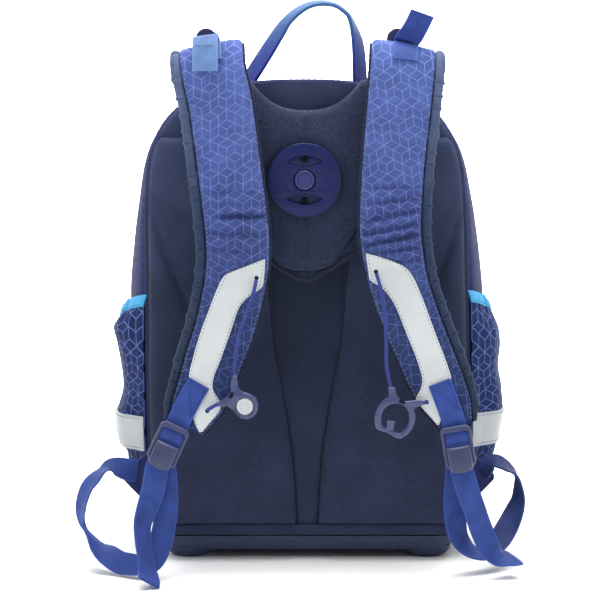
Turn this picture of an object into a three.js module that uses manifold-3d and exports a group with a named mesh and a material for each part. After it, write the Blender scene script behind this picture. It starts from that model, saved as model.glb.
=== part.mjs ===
// Ergonomic school backpack standing on its feet, its wearer's side facing -Y.
// Millimetres, +Z up, +X to the right of somebody who looks at the wearer's side.
import * as THREE from "three";
import { mergeVertices } from "three/addons/utils/BufferGeometryUtils.js";
import Module from "manifold-3d";

const wasm = await Module();
wasm.setup();

// Clearance between pieces and the thickness of each kind of layer
const GAP = 0.4;
const CLOTH = 2.2;
const PANEL = 8;
const COVER = 1.4;
const PATCH = 0.8;
const WEB_THICK = 1.6;
const WEB_WIDE = 19;
const CORD_RADIUS = 1.5;

// Edge of the bag seen from the wearer's side: half width at each height
const OUTLINE = [
  { half: 125, z: 20 },
  { half: 133, z: 58 },
  { half: 136, z: 136 },
  { half: 135, z: 240 },
  { half: 133.8, z: 303 },
  { half: 130, z: 340 },
  { half: 122.6, z: 359 },
  { half: 109.6, z: 377.7 },
  { half: 88, z: 391.5 },
  { half: 60, z: 400 },
  { half: 30, z: 403.6 },
];
const RIM_TOP = 404.4;
const BASE_TOP = OUTLINE[0].z;
const TOP_LEAN = -4.5;

// Depth of the bag and swelling of its side wall at each height
const BODY = [
  { z: 20, depth: 156, swell: 5 },
  { z: 110, depth: 176, swell: 14 },
  { z: 220, depth: 178, swell: 15 },
  { z: 290, depth: 168, swell: 10 },
  { z: 340, depth: 152, swell: 7 },
  { z: 405, depth: 128, swell: 4 },
];
const TOP_SLOPE = 0.15;
const FRONT_INSET = 8;
const FRONT_CROWN = 14;
const AROUND = 36;
const DEEP = 6;

// Moulded base: how far each level stands in from the widest one
const BASE = { half: 126, back: -PANEL - 0.8, front: 163, corner: 22, floor: 3, wall: 3 };
const BASE_LEVELS = [
  { z: 7.5, inset: 8 },
  { z: 10, inset: 4.2 },
  { z: 14, inset: 1.6 },
  { z: BASE_TOP - GAP, inset: 0 },
];
const FOOT = { x: 101, wide: 21, long: 17, back: 11, front: 134 };
const FOOT_LEVELS = [
  { z: 0, size: 0.45 },
  { z: 0.8, size: 0.62 },
  { z: 2.6, size: 0.8 },
  { z: 6, size: 0.95 },
  { z: 9.5, size: 1 },
];

// Back cushions: inner edge of a cushion at each height, and its swelling
const PAD_INNER = [
  { z: 30, inner: 10.5 },
  { z: 130, inner: 20.5 },
  { z: 240, inner: 36 },
  { z: 300, inner: 45 },
  { z: 350, inner: 53 },
];
const PAD = { rim: 2.6, swell: 7.8, edge: 4.5 };

// Yoke: half width from its foot to its top
const YOKE = { shift: -2.5, back: -21.4, rim: 5, swell: 7, low: 236, neck: 380, wing: 405, half: 112 };
// Its foot is a blunt point: half width, rise of the two edges for each millimetre, round of the tip
const YOKE_FOOT = { half: 56, rise: 0.66, round: 6 };
const YOKE_HALF = [
  { v: 0, half: 56 },
  { v: 0.35, half: 76 },
  { v: 0.7, half: 101 },
  { v: 1, half: 112 },
];

// Adjuster disc on the yoke
const DISC = { x: -3.5, z: 322.6, radius: 30.3, back: -33.9, front: -40, recess: -37.2 };
const EYE = { half: 14.2, tall: 11, up: 14.8, down: -16.2 };
const MEDAL = { radius: 8.1, groove: 9.7 };

// Shoulder straps: middle line, half width and lean of the width at each row
const STRAP_LEFT = [
  { x: -82, y: -27.5, z: 402, half: 30.5, tilt: 9 },
  { x: -83.4, y: -28, z: 411, half: 30.5, tilt: 9 },
  { x: -83, y: -41, z: 424, half: 30.5, tilt: 9 },
  { x: -82, y: -54, z: 411, half: 30.5, tilt: 9 },
  { x: -75.5, y: -56, z: 382, half: 30.6, tilt: 7 },
  { x: -69, y: -56, z: 333, half: 30.7, tilt: 6 },
  { x: -62.3, y: -57, z: 275, half: 31, tilt: 3 },
  { x: -64, y: -60, z: 240.7, half: 30, tilt: -6 },
  { x: -72.3, y: -65, z: 203.5, half: 29, tilt: -14 },
  { x: -81, y: -69, z: 178.4, half: 28, tilt: -17 },
  { x: -88, y: -72, z: 156, half: 26.5, tilt: -17 },
  { x: -94.5, y: -75, z: 139.5, half: 24.5, tilt: -17 },
  { x: -99, y: -77, z: 127.5, half: 21, tilt: -17 },
];
const STRAP_RIGHT = [
  { x: 79, y: -27.5, z: 402, half: 31, tilt: -9 },
  { x: 80.4, y: -28, z: 411, half: 31, tilt: -9 },
  { x: 80.5, y: -41, z: 424, half: 31, tilt: -9 },
  { x: 80, y: -54, z: 411, half: 31, tilt: -9 },
  { x: 76.6, y: -56, z: 375, half: 30.6, tilt: -6 },
  { x: 72.6, y: -56, z: 333, half: 30, tilt: -4 },
  { x: 70.5, y: -57, z: 285, half: 29.8, tilt: 0 },
  { x: 73.5, y: -59, z: 258, half: 29.2, tilt: 8 },
  { x: 77.5, y: -61, z: 238.5, half: 28.6, tilt: 14 },
  { x: 86.5, y: -65, z: 212, half: 27.8, tilt: 18 },
  { x: 98, y: -69, z: 183, half: 27.2, tilt: 20 },
  { x: 109, y: -73, z: 157, half: 26, tilt: 20 },
  { x: 116, y: -76, z: 140, half: 23, tilt: 17 },
  { x: 119.5, y: -78, z: 128.5, half: 18, tilt: 12 },
];
const STRAP_HALF_THICK = 5.5;
const STRAP_END_THICK = 3.2;
const STRAP_STEP = 13;
const FOLD_ROW = 3;
// Creases across the straps: height, reach, depth and slant
const CREASES_LEFT = [
  { z: 313, reach: 8, deep: 1, slant: 0.1 },
  { z: 291, reach: 7, deep: 2.2, slant: 0.05 },
];
const CREASES_RIGHT = [
  { z: 312, reach: 7, deep: 1.2, slant: 0.25 },
  { z: 292, reach: 7, deep: 1.8, slant: 0.25 },
  { z: 270, reach: 7, deep: 1.6, slant: 0.3 },
];

// Reflective pieces on the straps: left and right edge of each row
const PATCH_LEFT = [
  { x0: -55.9, z0: 250.7, x1: -35.6, z1: 258.6 },
  { x0: -65.6, z0: 246.7, x1: -35.8, z1: 253.2 },
  { x0: -70.5, z0: 242.6, x1: -36.4, z1: 245 },
  { x0: -74.6, z0: 234.4, x1: -38.5, z1: 235.3 },
  { x0: -77, z0: 228.7, x1: -47.8, z1: 228.7 },
  { x0: -81.1, z0: 218.1, x1: -56.7, z1: 219 },
  { x0: -88.5, z0: 198.6, x1: -64.1, z1: 198.6 },
  { x0: -94.7, z0: 177.3, x1: -71.9, z1: 177.3 },
  { x0: -97.6, z0: 164.2, x1: -77.6, z1: 162.5 },
  { x0: -96.8, z0: 152.7, x1: -78.1, z1: 152.7 },
  { x0: -95.2, z0: 142.8, x1: -76.2, z1: 142.8 },
  { x0: -92.8, z0: 135.4, x1: -75, z1: 136.5 },
  { x0: -89.6, z0: 128.6, x1: -80, z1: 128.6 },
];
const PATCH_RIGHT = [
  { x0: 46.5, z0: 263.5, x1: 67.4, z1: 257.2 },
  { x0: 47.2, z0: 257.2, x1: 76.3, z1: 253.2 },
  { x0: 48.6, z0: 249.1, x1: 82, z1: 248.3 },
  { x0: 50.4, z0: 241, x1: 86.1, z1: 241.8 },
  { x0: 60.2, z0: 234.4, x1: 89.4, z1: 234.4 },
  { x0: 69.9, z0: 221.4, x1: 94.7, z1: 221.4 },
  { x0: 79.8, z0: 197.7, x1: 103.4, z1: 197.7 },
  { x0: 88, z0: 177.3, x1: 111.2, z1: 177.3 },
  { x0: 92.2, z0: 162.5, x1: 115.8, z1: 162.5 },
  { x0: 91.4, z0: 154.3, x1: 114.2, z1: 152.7 },
  { x0: 90, z0: 146.1, x1: 111.8, z1: 144.5 },
  { x0: 94.6, z0: 139.6, x1: 107.8, z1: 137.9 },
  { x0: 101, z0: 132.4, x1: 105, z1: 133 },
];

// Ladder buckles: place of the top bar and lean of the buckle
const BUCKLE_LEFT = { x: -109, y: -85, z: 121, lean: 25 };
const BUCKLE_RIGHT = { x: 118.8, y: -86, z: 120, lean: -10 };
const BUCKLE = { rail: 1.6, bar: 1.6, middle: -12.5, middleHalf: 1.2, railEnd: -24, deep: 2.6 };
const LIP = { top: -10.5, end: -32, topY: -2.7, endY: -5.6, thick: 1.8, half: 10.2 };
// Route of the adjusting webbing inside a buckle, from behind the bar to the front
const BUCKLE_ROUTE = [
  { y: 3.9, z: -26 },
  { y: 3.9, z: -18 },
  { y: 3.9, z: -13.6 },
  { y: 3.3, z: -10.7 },
  { y: 1.3, z: -9.3 },
  { y: -0.7, z: -10.7 },
  { y: -1.3, z: -13.6 },
  { y: -1.4, z: -19 },
  { y: -1.8, z: -26 },
  { y: -2.8, z: -34 },
];
// Route of the sewn tab round the top bar
const TAB_ROUTE = [
  { y: -3.2, z: 4 },
  { y: -3.2, z: 0.4 },
  { y: -2.7, z: -2.2 },
  { y: 0, z: -3.4 },
  { y: 2.7, z: -2.2 },
  { y: 3.2, z: 0.4 },
];
const TAB_LEFT = [
  { x: -89.3, z: 158.3 },
  { x: -95.5, z: 147.5 },
  { x: -101.5, z: 136.5 },
];
const TAB_RIGHT = [
  { x: 106.2, z: 158.9 },
  { x: 110.4, z: 148 },
  { x: 114.4, z: 137 },
];

// Adjusting webbing: middle line and direction of its width, from the bag to the buckle
const LOOP_LEFT = [
  { x: -147, y: -4.8, z: 74, wx: 0.05, wy: 0, wz: 1 },
  { x: -161, y: -7.5, z: 79, wx: 0.1, wy: 0.3, wz: 1 },
  { x: -172.7, y: -13, z: 76.6, wx: 0.25, wy: 0.9, wz: 0.5 },
  { x: -182, y: -20, z: 68, wx: 0.1, wy: 1, wz: 0.3 },
  { x: -189.5, y: -28, z: 56.7, wx: 0.3, wy: 1, wz: 0 },
  { x: -191.3, y: -36, z: 45.5, wx: 0.45, wy: 0.9, wz: 0 },
  { x: -189.2, y: -45, z: 34.5, wx: 0.45, wy: 0.9, wz: 0.1 },
  { x: -182.6, y: -55, z: 24.7, wx: 0.3, wy: 0.85, wz: 0.35 },
  { x: -170, y: -66, z: 15, wx: 0.1, wy: 0.8, wz: 0.6 },
  { x: -154.4, y: -78, z: 10, wx: 0, wy: 0.75, wz: 0.7 },
  { x: -140, y: -87, z: 9.6, wx: -0.2, wy: 0.7, wz: 0.7 },
  { x: -129.5, y: -91, z: 14, wx: -0.7, wy: 0.55, wz: 0.5 },
  { x: -122.4, y: -90, z: 29, wx: -0.93, wy: 0.2, wz: 0.3 },
  { x: -119.5, y: -85, z: 54, wx: -0.906, wy: 0, wz: 0.423 },
  { x: -121.5, y: -81.6, z: 78, wx: -0.906, wy: 0, wz: 0.423 },
];
const TAIL_LEFT = [
  { x: -127.6, y: -91.5, z: 76, wx: -0.92, wy: -0.1, wz: 0.38 },
  { x: -131.8, y: -95, z: 60.4, wx: -0.85, wy: -0.4, wz: 0.3 },
  { x: -134.8, y: -100, z: 46.6, wx: -0.7, wy: -0.65, wz: 0.2 },
  { x: -134.3, y: -106, z: 31.4, wx: -0.65, wy: -0.7, wz: 0.1 },
  { x: -131.6, y: -114, z: 16.8, wx: -0.7, wy: -0.6, wz: 0.1 },
  { x: -129.2, y: -125, z: 6.4, wx: -0.8, wy: -0.4, wz: 0.05 },
  { x: -127, y: -140, z: 2, wx: -0.85, wy: -0.3, wz: 0 },
];
const LOOP_RIGHT = [
  { x: 147, y: -4.8, z: 73, wx: 0, wy: 0, wz: 1 },
  { x: 160.5, y: -8, z: 80, wx: -0.3, wy: 0.4, wz: 0.9 },
  { x: 168.6, y: -12, z: 77.5, wx: 0.1, wy: 0.95, wz: 0.4 },
  { x: 174.8, y: -17, z: 68.3, wx: -0.1, wy: 1, wz: 0 },
  { x: 176.7, y: -24, z: 56.9, wx: -0.45, wy: 0.9, wz: 0 },
  { x: 174.3, y: -32, z: 46.5, wx: -0.7, wy: 0.7, wz: 0 },
  { x: 167.7, y: -42, z: 33.1, wx: -0.8, wy: 0.5, wz: 0.3 },
  { x: 158.5, y: -52, z: 22.4, wx: -0.7, wy: 0.4, wz: 0.6 },
  { x: 147.8, y: -62, z: 17, wx: -0.3, wy: 0.5, wz: 0.8 },
  { x: 137.1, y: -72, z: 17, wx: 0.1, wy: 0.5, wz: 0.85 },
  { x: 126.7, y: -80, z: 25, wx: 0.7, wy: 0.3, wz: 0.6 },
  { x: 121.5, y: -84, z: 40, wx: 0.97, wy: 0.1, wz: 0.2 },
  { x: 120.6, y: -83.5, z: 63, wx: 0.985, wy: 0, wz: 0.174 },
  { x: 121.9, y: -82.4, z: 80, wx: 0.985, wy: 0, wz: 0.174 },
];
const TAIL_RIGHT = [
  { x: 128.6, y: -92.5, z: 72, wx: 0.97, wy: 0, wz: 0.25 },
  { x: 134, y: -94, z: 56, wx: 0.88, wy: 0, wz: 0.45 },
  { x: 142.5, y: -92, z: 37, wx: 0.72, wy: 0.2, wz: 0.65 },
  { x: 154.5, y: -88, z: 22.8, wx: 0.5, wy: 0.45, wz: 0.7 },
  { x: 170.5, y: -82, z: 12.8, wx: 0.25, wy: 0.75, wz: 0.6 },
];
// Cloth triangles that hold the webbing at the bag: seam top, seam foot and tip
const WING = { seam: 136.9, top: 90, foot: 46, tip: 157.5, tipZ: 70, back: -1, thick: 2 };

// Carrying handle: middle line of the webbing, whose width turns outwards on the legs
const HANDLE = [
  { x: -49.5, y: 14, z: 406.2, wx: -0.4, wy: 0.88, wz: 0.25 },
  { x: -38.1, y: 14, z: 424.1, wx: -0.4, wy: 0.88, wz: 0.25 },
  { x: -25, y: 14, z: 444, wx: -0.32, wy: 0.92, wz: 0.2 },
  { x: -18.4, y: 14, z: 453, wx: -0.22, wy: 0.95, wz: 0.2 },
  { x: -9.9, y: 14, z: 460.2, wx: -0.15, wy: 0.97, wz: 0.2 },
  { x: -0.1, y: 14, z: 465.6, wx: -0.06, wy: 0.98, wz: 0.14 },
  { x: 10.4, y: 14, z: 467.6, wx: 0, wy: 1, wz: 0.06 },
  { x: 20.9, y: 14, z: 466.4, wx: 0, wy: 1, wz: 0.03 },
  { x: 29.5, y: 14, z: 461.4, wx: 0.05, wy: 1, wz: 0 },
  { x: 35.4, y: 14, z: 454, wx: 0.1, wy: 1, wz: 0 },
  { x: 41.3, y: 14, z: 435.3, wx: 0.35, wy: 0.94, wz: 0 },
  { x: 43.3, y: 14, z: 406.2, wx: 0.43, wy: 0.9, wz: 0 },
];
const HANDLE_WIDE = 22;
const HANDLE_THICK = 3;

// Webbing tabs at the strap tops: rows that follow the strap, then free rows
const LIFTER_WIDE = 20.5;
const LIFTER_ON_STRAP = [2.8, 2.6, 2.4, 2.2, 2.05];
const LIFTER_LEFT = [
  { x: -83.4, y: -43.5, z: 436.6, wx: 0.985, wy: 0, wz: 0.16 },
  { x: -83.6, y: -49.5, z: 439.6, wx: 0.985, wy: 0, wz: 0.16 },
  { x: -83.8, y: -57, z: 438.8, wx: 0.99, wy: 0, wz: 0.1 },
  { x: -83.9, y: -63.5, z: 433, wx: 1, wy: 0, wz: 0.05 },
  { x: -83.9, y: -67, z: 423, wx: 1, wy: 0, wz: 0 },
  { x: -83.9, y: -68.4, z: 411.4, wx: 1, wy: 0, wz: 0 },
];
const LIFTER_RIGHT = [
  { x: 80.5, y: -45, z: 437, wx: 0.975, wy: 0.1, wz: -0.18 },
  { x: 84.5, y: -46, z: 442.5, wx: 0.965, wy: 0.15, wz: -0.2 },
  { x: 88.6, y: -48.5, z: 450, wx: 0.96, wy: 0.2, wz: -0.2 },
  { x: 92.4, y: -52, z: 458.4, wx: 0.96, wy: 0.2, wz: -0.2 },
];
const LIFTER_LIP = { radius: 8.8, foot: 435, back: -37.8, thick: 2.6, left: -84, right: 72.5 };

// Chest cords from the upper hole of a reflective piece through the clip to the lower hole
const CORD_LEFT = [
  { x: -42.8, y: -71, z: 242 },
  { x: -45, y: -75, z: 232 },
  { x: -51.7, y: -79.5, z: 212.2 },
  { x: -56.6, y: -83, z: 197.7 },
  { x: -60, y: -86.8, z: 174 },
  { x: -61.2, y: -88, z: 163.1 },
  { x: -62, y: -88, z: 156.5 },
  { x: -63.6, y: -88, z: 150 },
  { x: -67.6, y: -88, z: 145.6 },
  { x: -73.6, y: -88, z: 142.9 },
  { x: -79, y: -87.4, z: 140.2 },
  { x: -82.8, y: -86, z: 137.6 },
];
const CORD_RIGHT = [
  { x: 54.9, y: -71, z: 247.6 },
  { x: 58, y: -75, z: 236.5 },
  { x: 61.6, y: -80, z: 217.1 },
  { x: 62.4, y: -83.5, z: 198.6 },
  { x: 63, y: -87.4, z: 173 },
  { x: 65.7, y: -89, z: 155.7 },
  { x: 70.5, y: -89, z: 148.6 },
  { x: 77.8, y: -89, z: 145.2 },
  { x: 86, y: -89, z: 144.6 },
  { x: 92.6, y: -88.6, z: 144.5 },
  { x: 96.4, y: -87, z: 144.4 },
];
const CLIP_LEFT = { x: -52.2, y: -88, z: 140.1, outer: 11.2, inner: 7.3, thick: 5, from: 5, to: 9 };
const CLIP_RIGHT = { x: 69.7, y: -89, z: 130.7, outer: 16.2, inner: 11.3, thick: 5, from: 5, to: 8 };
const SLEEVE_RADIUS = 3.3;
const BORE_RADIUS = 2.2;
const RING_SIDES = 22;
const BUTTON_RADIUS = 6.8;

// Side pockets: bulge over the side wall at each height
const POCKET = { start: 0.014, share: 0.62, columns: 11, gathers: 3, gather: 1 };
const POCKET_ROWS = [
  { z: 66, bulge: 0.2 },
  { z: 70, bulge: 2.5 },
  { z: 78, bulge: 7.5 },
  { z: 87, bulge: 11.5 },
  { z: 100, bulge: 13 },
  { z: 113, bulge: 13.5 },
  { z: 135, bulge: 12 },
  { z: 155, bulge: 11.5 },
  { z: 172, bulge: 15 },
  { z: 185, bulge: 17.5 },
  { z: 196, bulge: 15 },
  { z: 205, bulge: 12 },
];
const TRIM = { tall: 10.5, rise: 7, thick: 2.6 };
const BAND_ROWS = [87, 100, 113];
const ZIP = { low: 4, high: 32, from: 0.77, to: 0.83, thick: 1 };

const COLOURS = {
  print: 0x3d4a9c,
  pocket: 0x28305f,
  navy: 0x262a42,
  mesh: 0x2b3046,
  slate: 0x3a4660,
  reflective: 0xd4d9da,
  webbing: 0x2c3f96,
  tab: 0x5f8fd6,
  trim: 0x2fa8e0,
  disc: 0x2f3270,
  buckle: 0x45476f,
  clip: 0x55578c,
  cord: 0x3a3e8c,
  white: 0xd9dbe2,
  base: 0x222437,
  screw: 0x14151f,
};

const vec = (x, y, z) => new THREE.Vector3(x, y, z);
const clamp = (value, low, high) => Math.min(Math.max(value, low), high);
const numbered = (rows) => rows.map((row, i) => ({ ...row, i }));

// One column of a table at a place along another column, smooth from row to row
function column(rows, along, name, at) {
  let k = 0;
  while (k < rows.length - 2 && rows[k + 1][along] < at) k += 1;
  const here = rows[k];
  const next = rows[k + 1];
  const before = rows[Math.max(k - 1, 0)];
  const after = rows[Math.min(k + 2, rows.length - 1)];
  const span = next[along] - here[along];
  const t = clamp((at - here[along]) / span, 0, 1);
  const leave = ((next[name] - before[name]) / (next[along] - before[along])) * span;
  const reach = ((after[name] - here[name]) / (after[along] - here[along])) * span;
  const bend = t * t * (3 - 2 * t);
  return (
    here[name] * (1 - bend) +
    next[name] * bend +
    leave * t * (1 - t) * (1 - t) -
    reach * t * t * (1 - t)
  );
}

// Closed geometry from points and triangles, turned so that it faces out
function closed(points, faces) {
  const raw = new THREE.BufferGeometry();
  raw.setAttribute("position", new THREE.Float32BufferAttribute(points.flatMap((p) => [p.x, p.y, p.z]), 3));
  raw.setIndex(faces.flat());
  const merged = mergeVertices(raw, 1e-3);
  const index = merged.index.array;
  const place = merged.attributes.position;
  const corner = (k) => new THREE.Vector3().fromBufferAttribute(place, k);
  const kept = [];
  let volume = 0;
  for (let k = 0; k < index.length; k += 3) {
    const [a, b, c] = [index[k], index[k + 1], index[k + 2]];
    if (a === b || b === c || c === a) continue;
    kept.push([a, b, c]);
    volume += corner(a).dot(corner(b).cross(corner(c)));
  }
  merged.setIndex(kept.flatMap(([a, b, c]) => (volume > 0 ? [a, b, c] : [a, c, b])));
  return merged;
}

// Layer between two surfaces that share one grid of columns and rows
function layer(top, under, columns, rows) {
  const points = [];
  const faces = [];
  const wide = columns.length;
  const count = wide * rows.length;
  for (const surface of [top, under]) {
    for (const v of rows) {
      for (const u of columns) points.push(surface(u, v));
    }
  }
  const id = (side, i, j) => side * count + j * wide + i;
  const quad = (a, b, c, d) => faces.push([a, b, c], [a, c, d]);
  const lastI = wide - 1;
  const lastJ = rows.length - 1;
  for (let j = 0; j < lastJ; j += 1) {
    for (let i = 0; i < lastI; i += 1) {
      quad(id(0, i, j), id(0, i + 1, j), id(0, i + 1, j + 1), id(0, i, j + 1));
      quad(id(1, i, j), id(1, i, j + 1), id(1, i + 1, j + 1), id(1, i + 1, j));
    }
    quad(id(0, 0, j), id(0, 0, j + 1), id(1, 0, j + 1), id(1, 0, j));
    quad(id(0, lastI, j + 1), id(0, lastI, j), id(1, lastI, j), id(1, lastI, j + 1));
  }
  for (let i = 0; i < lastI; i += 1) {
    quad(id(0, i + 1, 0), id(0, i, 0), id(1, i, 0), id(1, i + 1, 0));
    quad(id(0, i, lastJ), id(0, i + 1, lastJ), id(1, i + 1, lastJ), id(1, i, lastJ));
  }
  return closed(points, faces);
}

// Solid through a stack of level loops, closed flat at both ends
function stack(loops) {
  const points = loops.flat();
  const n = loops[0].length;
  const faces = [];
  for (let k = 0; k < loops.length - 1; k += 1) {
    for (let i = 0; i < n; i += 1) {
      const a = k * n + i;
      const b = k * n + ((i + 1) % n);
      faces.push([a, b, b + n], [a, b + n, a + n]);
    }
  }
  const last = (loops.length - 1) * n;
  for (let i = 1; i < n - 1; i += 1) {
    faces.push([0, i + 1, i], [last, last + i, last + i + 1]);
  }
  return closed(points, faces);
}

// Flat tape along rows that give its middle line and the direction of its width
function tape(given, wide, thick, steps) {
  const rows = numbered(given);
  const end = rows.length - 1;
  const at = (t) => vec(column(rows, "i", "x", t), column(rows, "i", "y", t), column(rows, "i", "z", t));
  const side = (lift) => (u, v) => {
    const t = v * end;
    const along = at(Math.min(t + 0.02, end)).sub(at(Math.max(t - 0.02, 0))).normalize();
    const across = vec(column(rows, "i", "wx", t), column(rows, "i", "wy", t), column(rows, "i", "wz", t));
    across.addScaledVector(along, -across.dot(along)).normalize();
    const normal = along.clone().cross(across);
    return at(t).addScaledVector(across, (u * wide) / 2).addScaledVector(normal, lift);
  };
  const places = Array.from({ length: steps + 1 }, (_, k) => k / steps);
  return layer(side(thick / 2), side(-thick / 2), [-1, 1], places);
}

// Round cord or bore along a smooth line through the rows
function cord(rows, radius, steps) {
  const path = new THREE.CatmullRomCurve3(rows.map((r) => vec(r.x, r.y, r.z)));
  const round = new THREE.Shape().absarc(0, 0, radius, 0, Math.PI * 2);
  const made = new THREE.ExtrudeGeometry(round, { steps, extrudePath: path, curveSegments: 3 });
  return unskinned(made);
}

// Positions only, merged and facing out
function unskinned(geometry) {
  const bare = geometry.clone();
  bare.deleteAttribute("normal");
  bare.deleteAttribute("uv");
  const merged = mergeVertices(bare, 1e-3);
  const place = merged.attributes.position;
  const points = Array.from({ length: place.count }, (_, k) => new THREE.Vector3().fromBufferAttribute(place, k));
  const index = merged.index.array;
  const faces = [];
  for (let k = 0; k < index.length; k += 3) faces.push([index[k], index[k + 1], index[k + 2]]);
  return closed(points, faces);
}

// Plate with the outline of a shape in X and Z, from y back towards the wearer
function plate(shape, back, thick, curveSegments = 12) {
  const made = new THREE.ExtrudeGeometry(shape, { depth: thick, bevelEnabled: false, curveSegments });
  made.rotateX(Math.PI / 2);
  made.translate(0, back, 0);
  return unskinned(made);
}

const outlined = (points) => new THREE.Shape(points.map(([x, z]) => new THREE.Vector2(x, z)));
const turned = (rows, segments) =>
  unskinned(new THREE.LatheGeometry(rows.map(([r, y]) => new THREE.Vector2(r, y)), segments));

function block(x0, x1, y0, y1, z0, z1) {
  const made = new THREE.BoxGeometry(x1 - x0, y1 - y0, z1 - z0);
  made.translate((x0 + x1) / 2, (y0 + y1) / 2, (z0 + z1) / 2);
  return unskinned(made);
}

function body(geometry) {
  const mesh = new wasm.Mesh({
    numProp: 3,
    vertProperties: new Float32Array(geometry.attributes.position.array),
    triVerts: new Uint32Array(geometry.index.array),
  });
  return new wasm.Manifold(mesh);
}

function surfaceOf(made) {
  const mesh = made.getMesh();
  const geometry = new THREE.BufferGeometry();
  geometry.setAttribute("position", new THREE.BufferAttribute(mesh.vertProperties.slice(), 3));
  geometry.setIndex(new THREE.BufferAttribute(mesh.triVerts.slice(), 1));
  return geometry;
}

function joined(pieces, cuts = []) {
  let made = body(pieces[0]);
  for (const piece of pieces.slice(1)) made = made.add(body(piece));
  for (const cut of cuts) made = made.subtract(body(cut));
  return surfaceOf(made);
}

const group = new THREE.Group();
group.name = "ergonomic_backpack";

function piece(name, geometry, colour, roughness = 0.85) {
  geometry.computeVertexNormals();
  const material = new THREE.MeshStandardMaterial({ color: COLOURS[colour], roughness, metalness: 0 });
  const mesh = new THREE.Mesh(geometry, material);
  mesh.name = name;
  group.add(mesh);
}

// Edge line of the bag: from the right foot over the top to the left foot
const rightEdge = OUTLINE.map((row) => vec(row.half, row.z, 0));
const leftEdge = OUTLINE.map((row) => vec(-row.half, row.z, 0)).reverse();
const edge = new THREE.CatmullRomCurve3([...rightEdge, vec(0, RIM_TOP, 0), ...leftEdge], false, "centripetal");
const lean = (z) => TOP_LEAN * ((z - BASE_TOP) / (RIM_TOP - BASE_TOP)) ** 2;
const bodyAt = (name, z) => column(BODY, "z", name, clamp(z, 20, 405));

// Side wall: t runs along the edge line, s from the wearer's side to the front
function shellPoint(t, s, lift = 0) {
  const at = edge.getPointAt(clamp(t, 0, 1));
  const along = edge.getTangentAt(clamp(t, 0, 1));
  const out = bodyAt("swell", at.y) * Math.sin(Math.PI * s) - FRONT_INSET * s * s + lift;
  const deep = bodyAt("depth", at.y) * s;
  const drop = TOP_SLOPE * deep * clamp((at.y - 230) / (RIM_TOP - 230), 0, 1) ** 1.5;
  const level = Math.max(at.y - along.x * out - drop, BASE_TOP);
  return vec(at.x + along.y * out + lean(at.y), deep, level);
}

// Place on the edge line that lies at one height on the right side
function edgeAt(z) {
  let low = 0;
  let high = 0.45;
  for (let k = 0; k < 40; k += 1) {
    const middle = (low + high) / 2;
    if (edge.getPointAt(middle).y < z) low = middle;
    else high = middle;
  }
  return (low + high) / 2;
}

const spread = (count) => Array.from({ length: count + 1 }, (_, k) => k / count);

function sideShell() {
  const outer = (t, s) => shellPoint(t, s, 0);
  const inner = (t, s) => shellPoint(t, s, -CLOTH);
  return layer(outer, inner, spread(AROUND), spread(DEEP));
}

function frontPanel() {
  const surface = (lift) => (c, r) => {
    const right = shellPoint(r / 2, 1);
    const left = shellPoint(1 - r / 2, 1);
    const at = left.lerp(right, (c + 1) / 2);
    const rise = (0.35 + 0.65 * Math.sin(Math.PI * r)) * (1 - r ** 6);
    at.y += GAP + lift + FRONT_CROWN * (1 - c * c) * rise;
    return at;
  };
  const across = [-1, -0.7, -0.3, 0.3, 0.7, 1];
  return layer(surface(CLOTH), surface(0), across, spread(AROUND / 2));
}

function backPanel() {
  const points = spread(AROUND).map((t) => {
    const at = shellPoint(t, 0);
    return [at.x, at.z];
  });
  return plate(outlined(points), -GAP, PANEL);
}

function backPad(side) {
  const flat = -PANEL - 2 * GAP;
  const low = PAD_INNER[0].z;
  const high = PAD_INNER[PAD_INNER.length - 1].z;
  const surface = (raised) => (u, v) => {
    const z = low + (high - low) * v;
    const inner = column(PAD_INNER, "z", "inner", z);
    const outer = edge.getPointAt(edgeAt(z)).x - PAD.edge;
    const round = (1 - Math.abs(2 * u - 1) ** 4) * (1 - Math.abs(2 * v - 1) ** 12);
    const x = side * (inner + (outer - inner) * u) + lean(z);
    return vec(x, raised ? flat - PAD.rim - PAD.swell * round : flat, z);
  };
  return layer(surface(true), surface(false), [0, 0.12, 0.35, 0.65, 0.88, 1], [0, 0.03, 0.15, 0.35, 0.55, 0.75, 0.92, 0.97, 1]);
}

function baseLoop(level, extra) {
  const inset = level.inset + extra;
  const radius = BASE.corner - inset * 0.5;
  const half = BASE.half - inset;
  const back = BASE.back + inset * 0.5;
  const front = BASE.front - inset;
  const corners = [
    [half - radius, front - radius, 0],
    [-half + radius, front - radius, 1],
    [-half + radius, back + radius, 2],
    [half - radius, back + radius, 3],
  ];
  return corners.flatMap(([x, y, quarter]) =>
    spread(3).map((k) => {
      const angle = ((quarter + k) * Math.PI) / 2;
      return vec(x + radius * Math.cos(angle), y + radius * Math.sin(angle), level.z);
    }),
  );
}

function foot(side, y) {
  return stack(
    FOOT_LEVELS.map((level) =>
      Array.from({ length: 12 }, (_, k) => {
        const angle = (k * Math.PI) / 6;
        const x = side * FOOT.x + FOOT.wide * level.size * Math.cos(angle);
        return vec(x, y + FOOT.long * level.size * Math.sin(angle), level.z);
      }),
    ),
  );
}

function baseTray() {
  const tray = stack(BASE_LEVELS.map((level) => baseLoop(level, 0)));
  const feet = [-1, 1].flatMap((side) => [foot(side, FOOT.back), foot(side, FOOT.front)]);
  const hollow = stack([
    baseLoop({ z: BASE_LEVELS[1].z + BASE.floor, inset: 6 }, BASE.wall),
    baseLoop({ z: BASE_TOP + 1, inset: 0 }, BASE.wall),
  ]);
  return joined([tray, ...feet], [hollow]);
}

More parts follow.
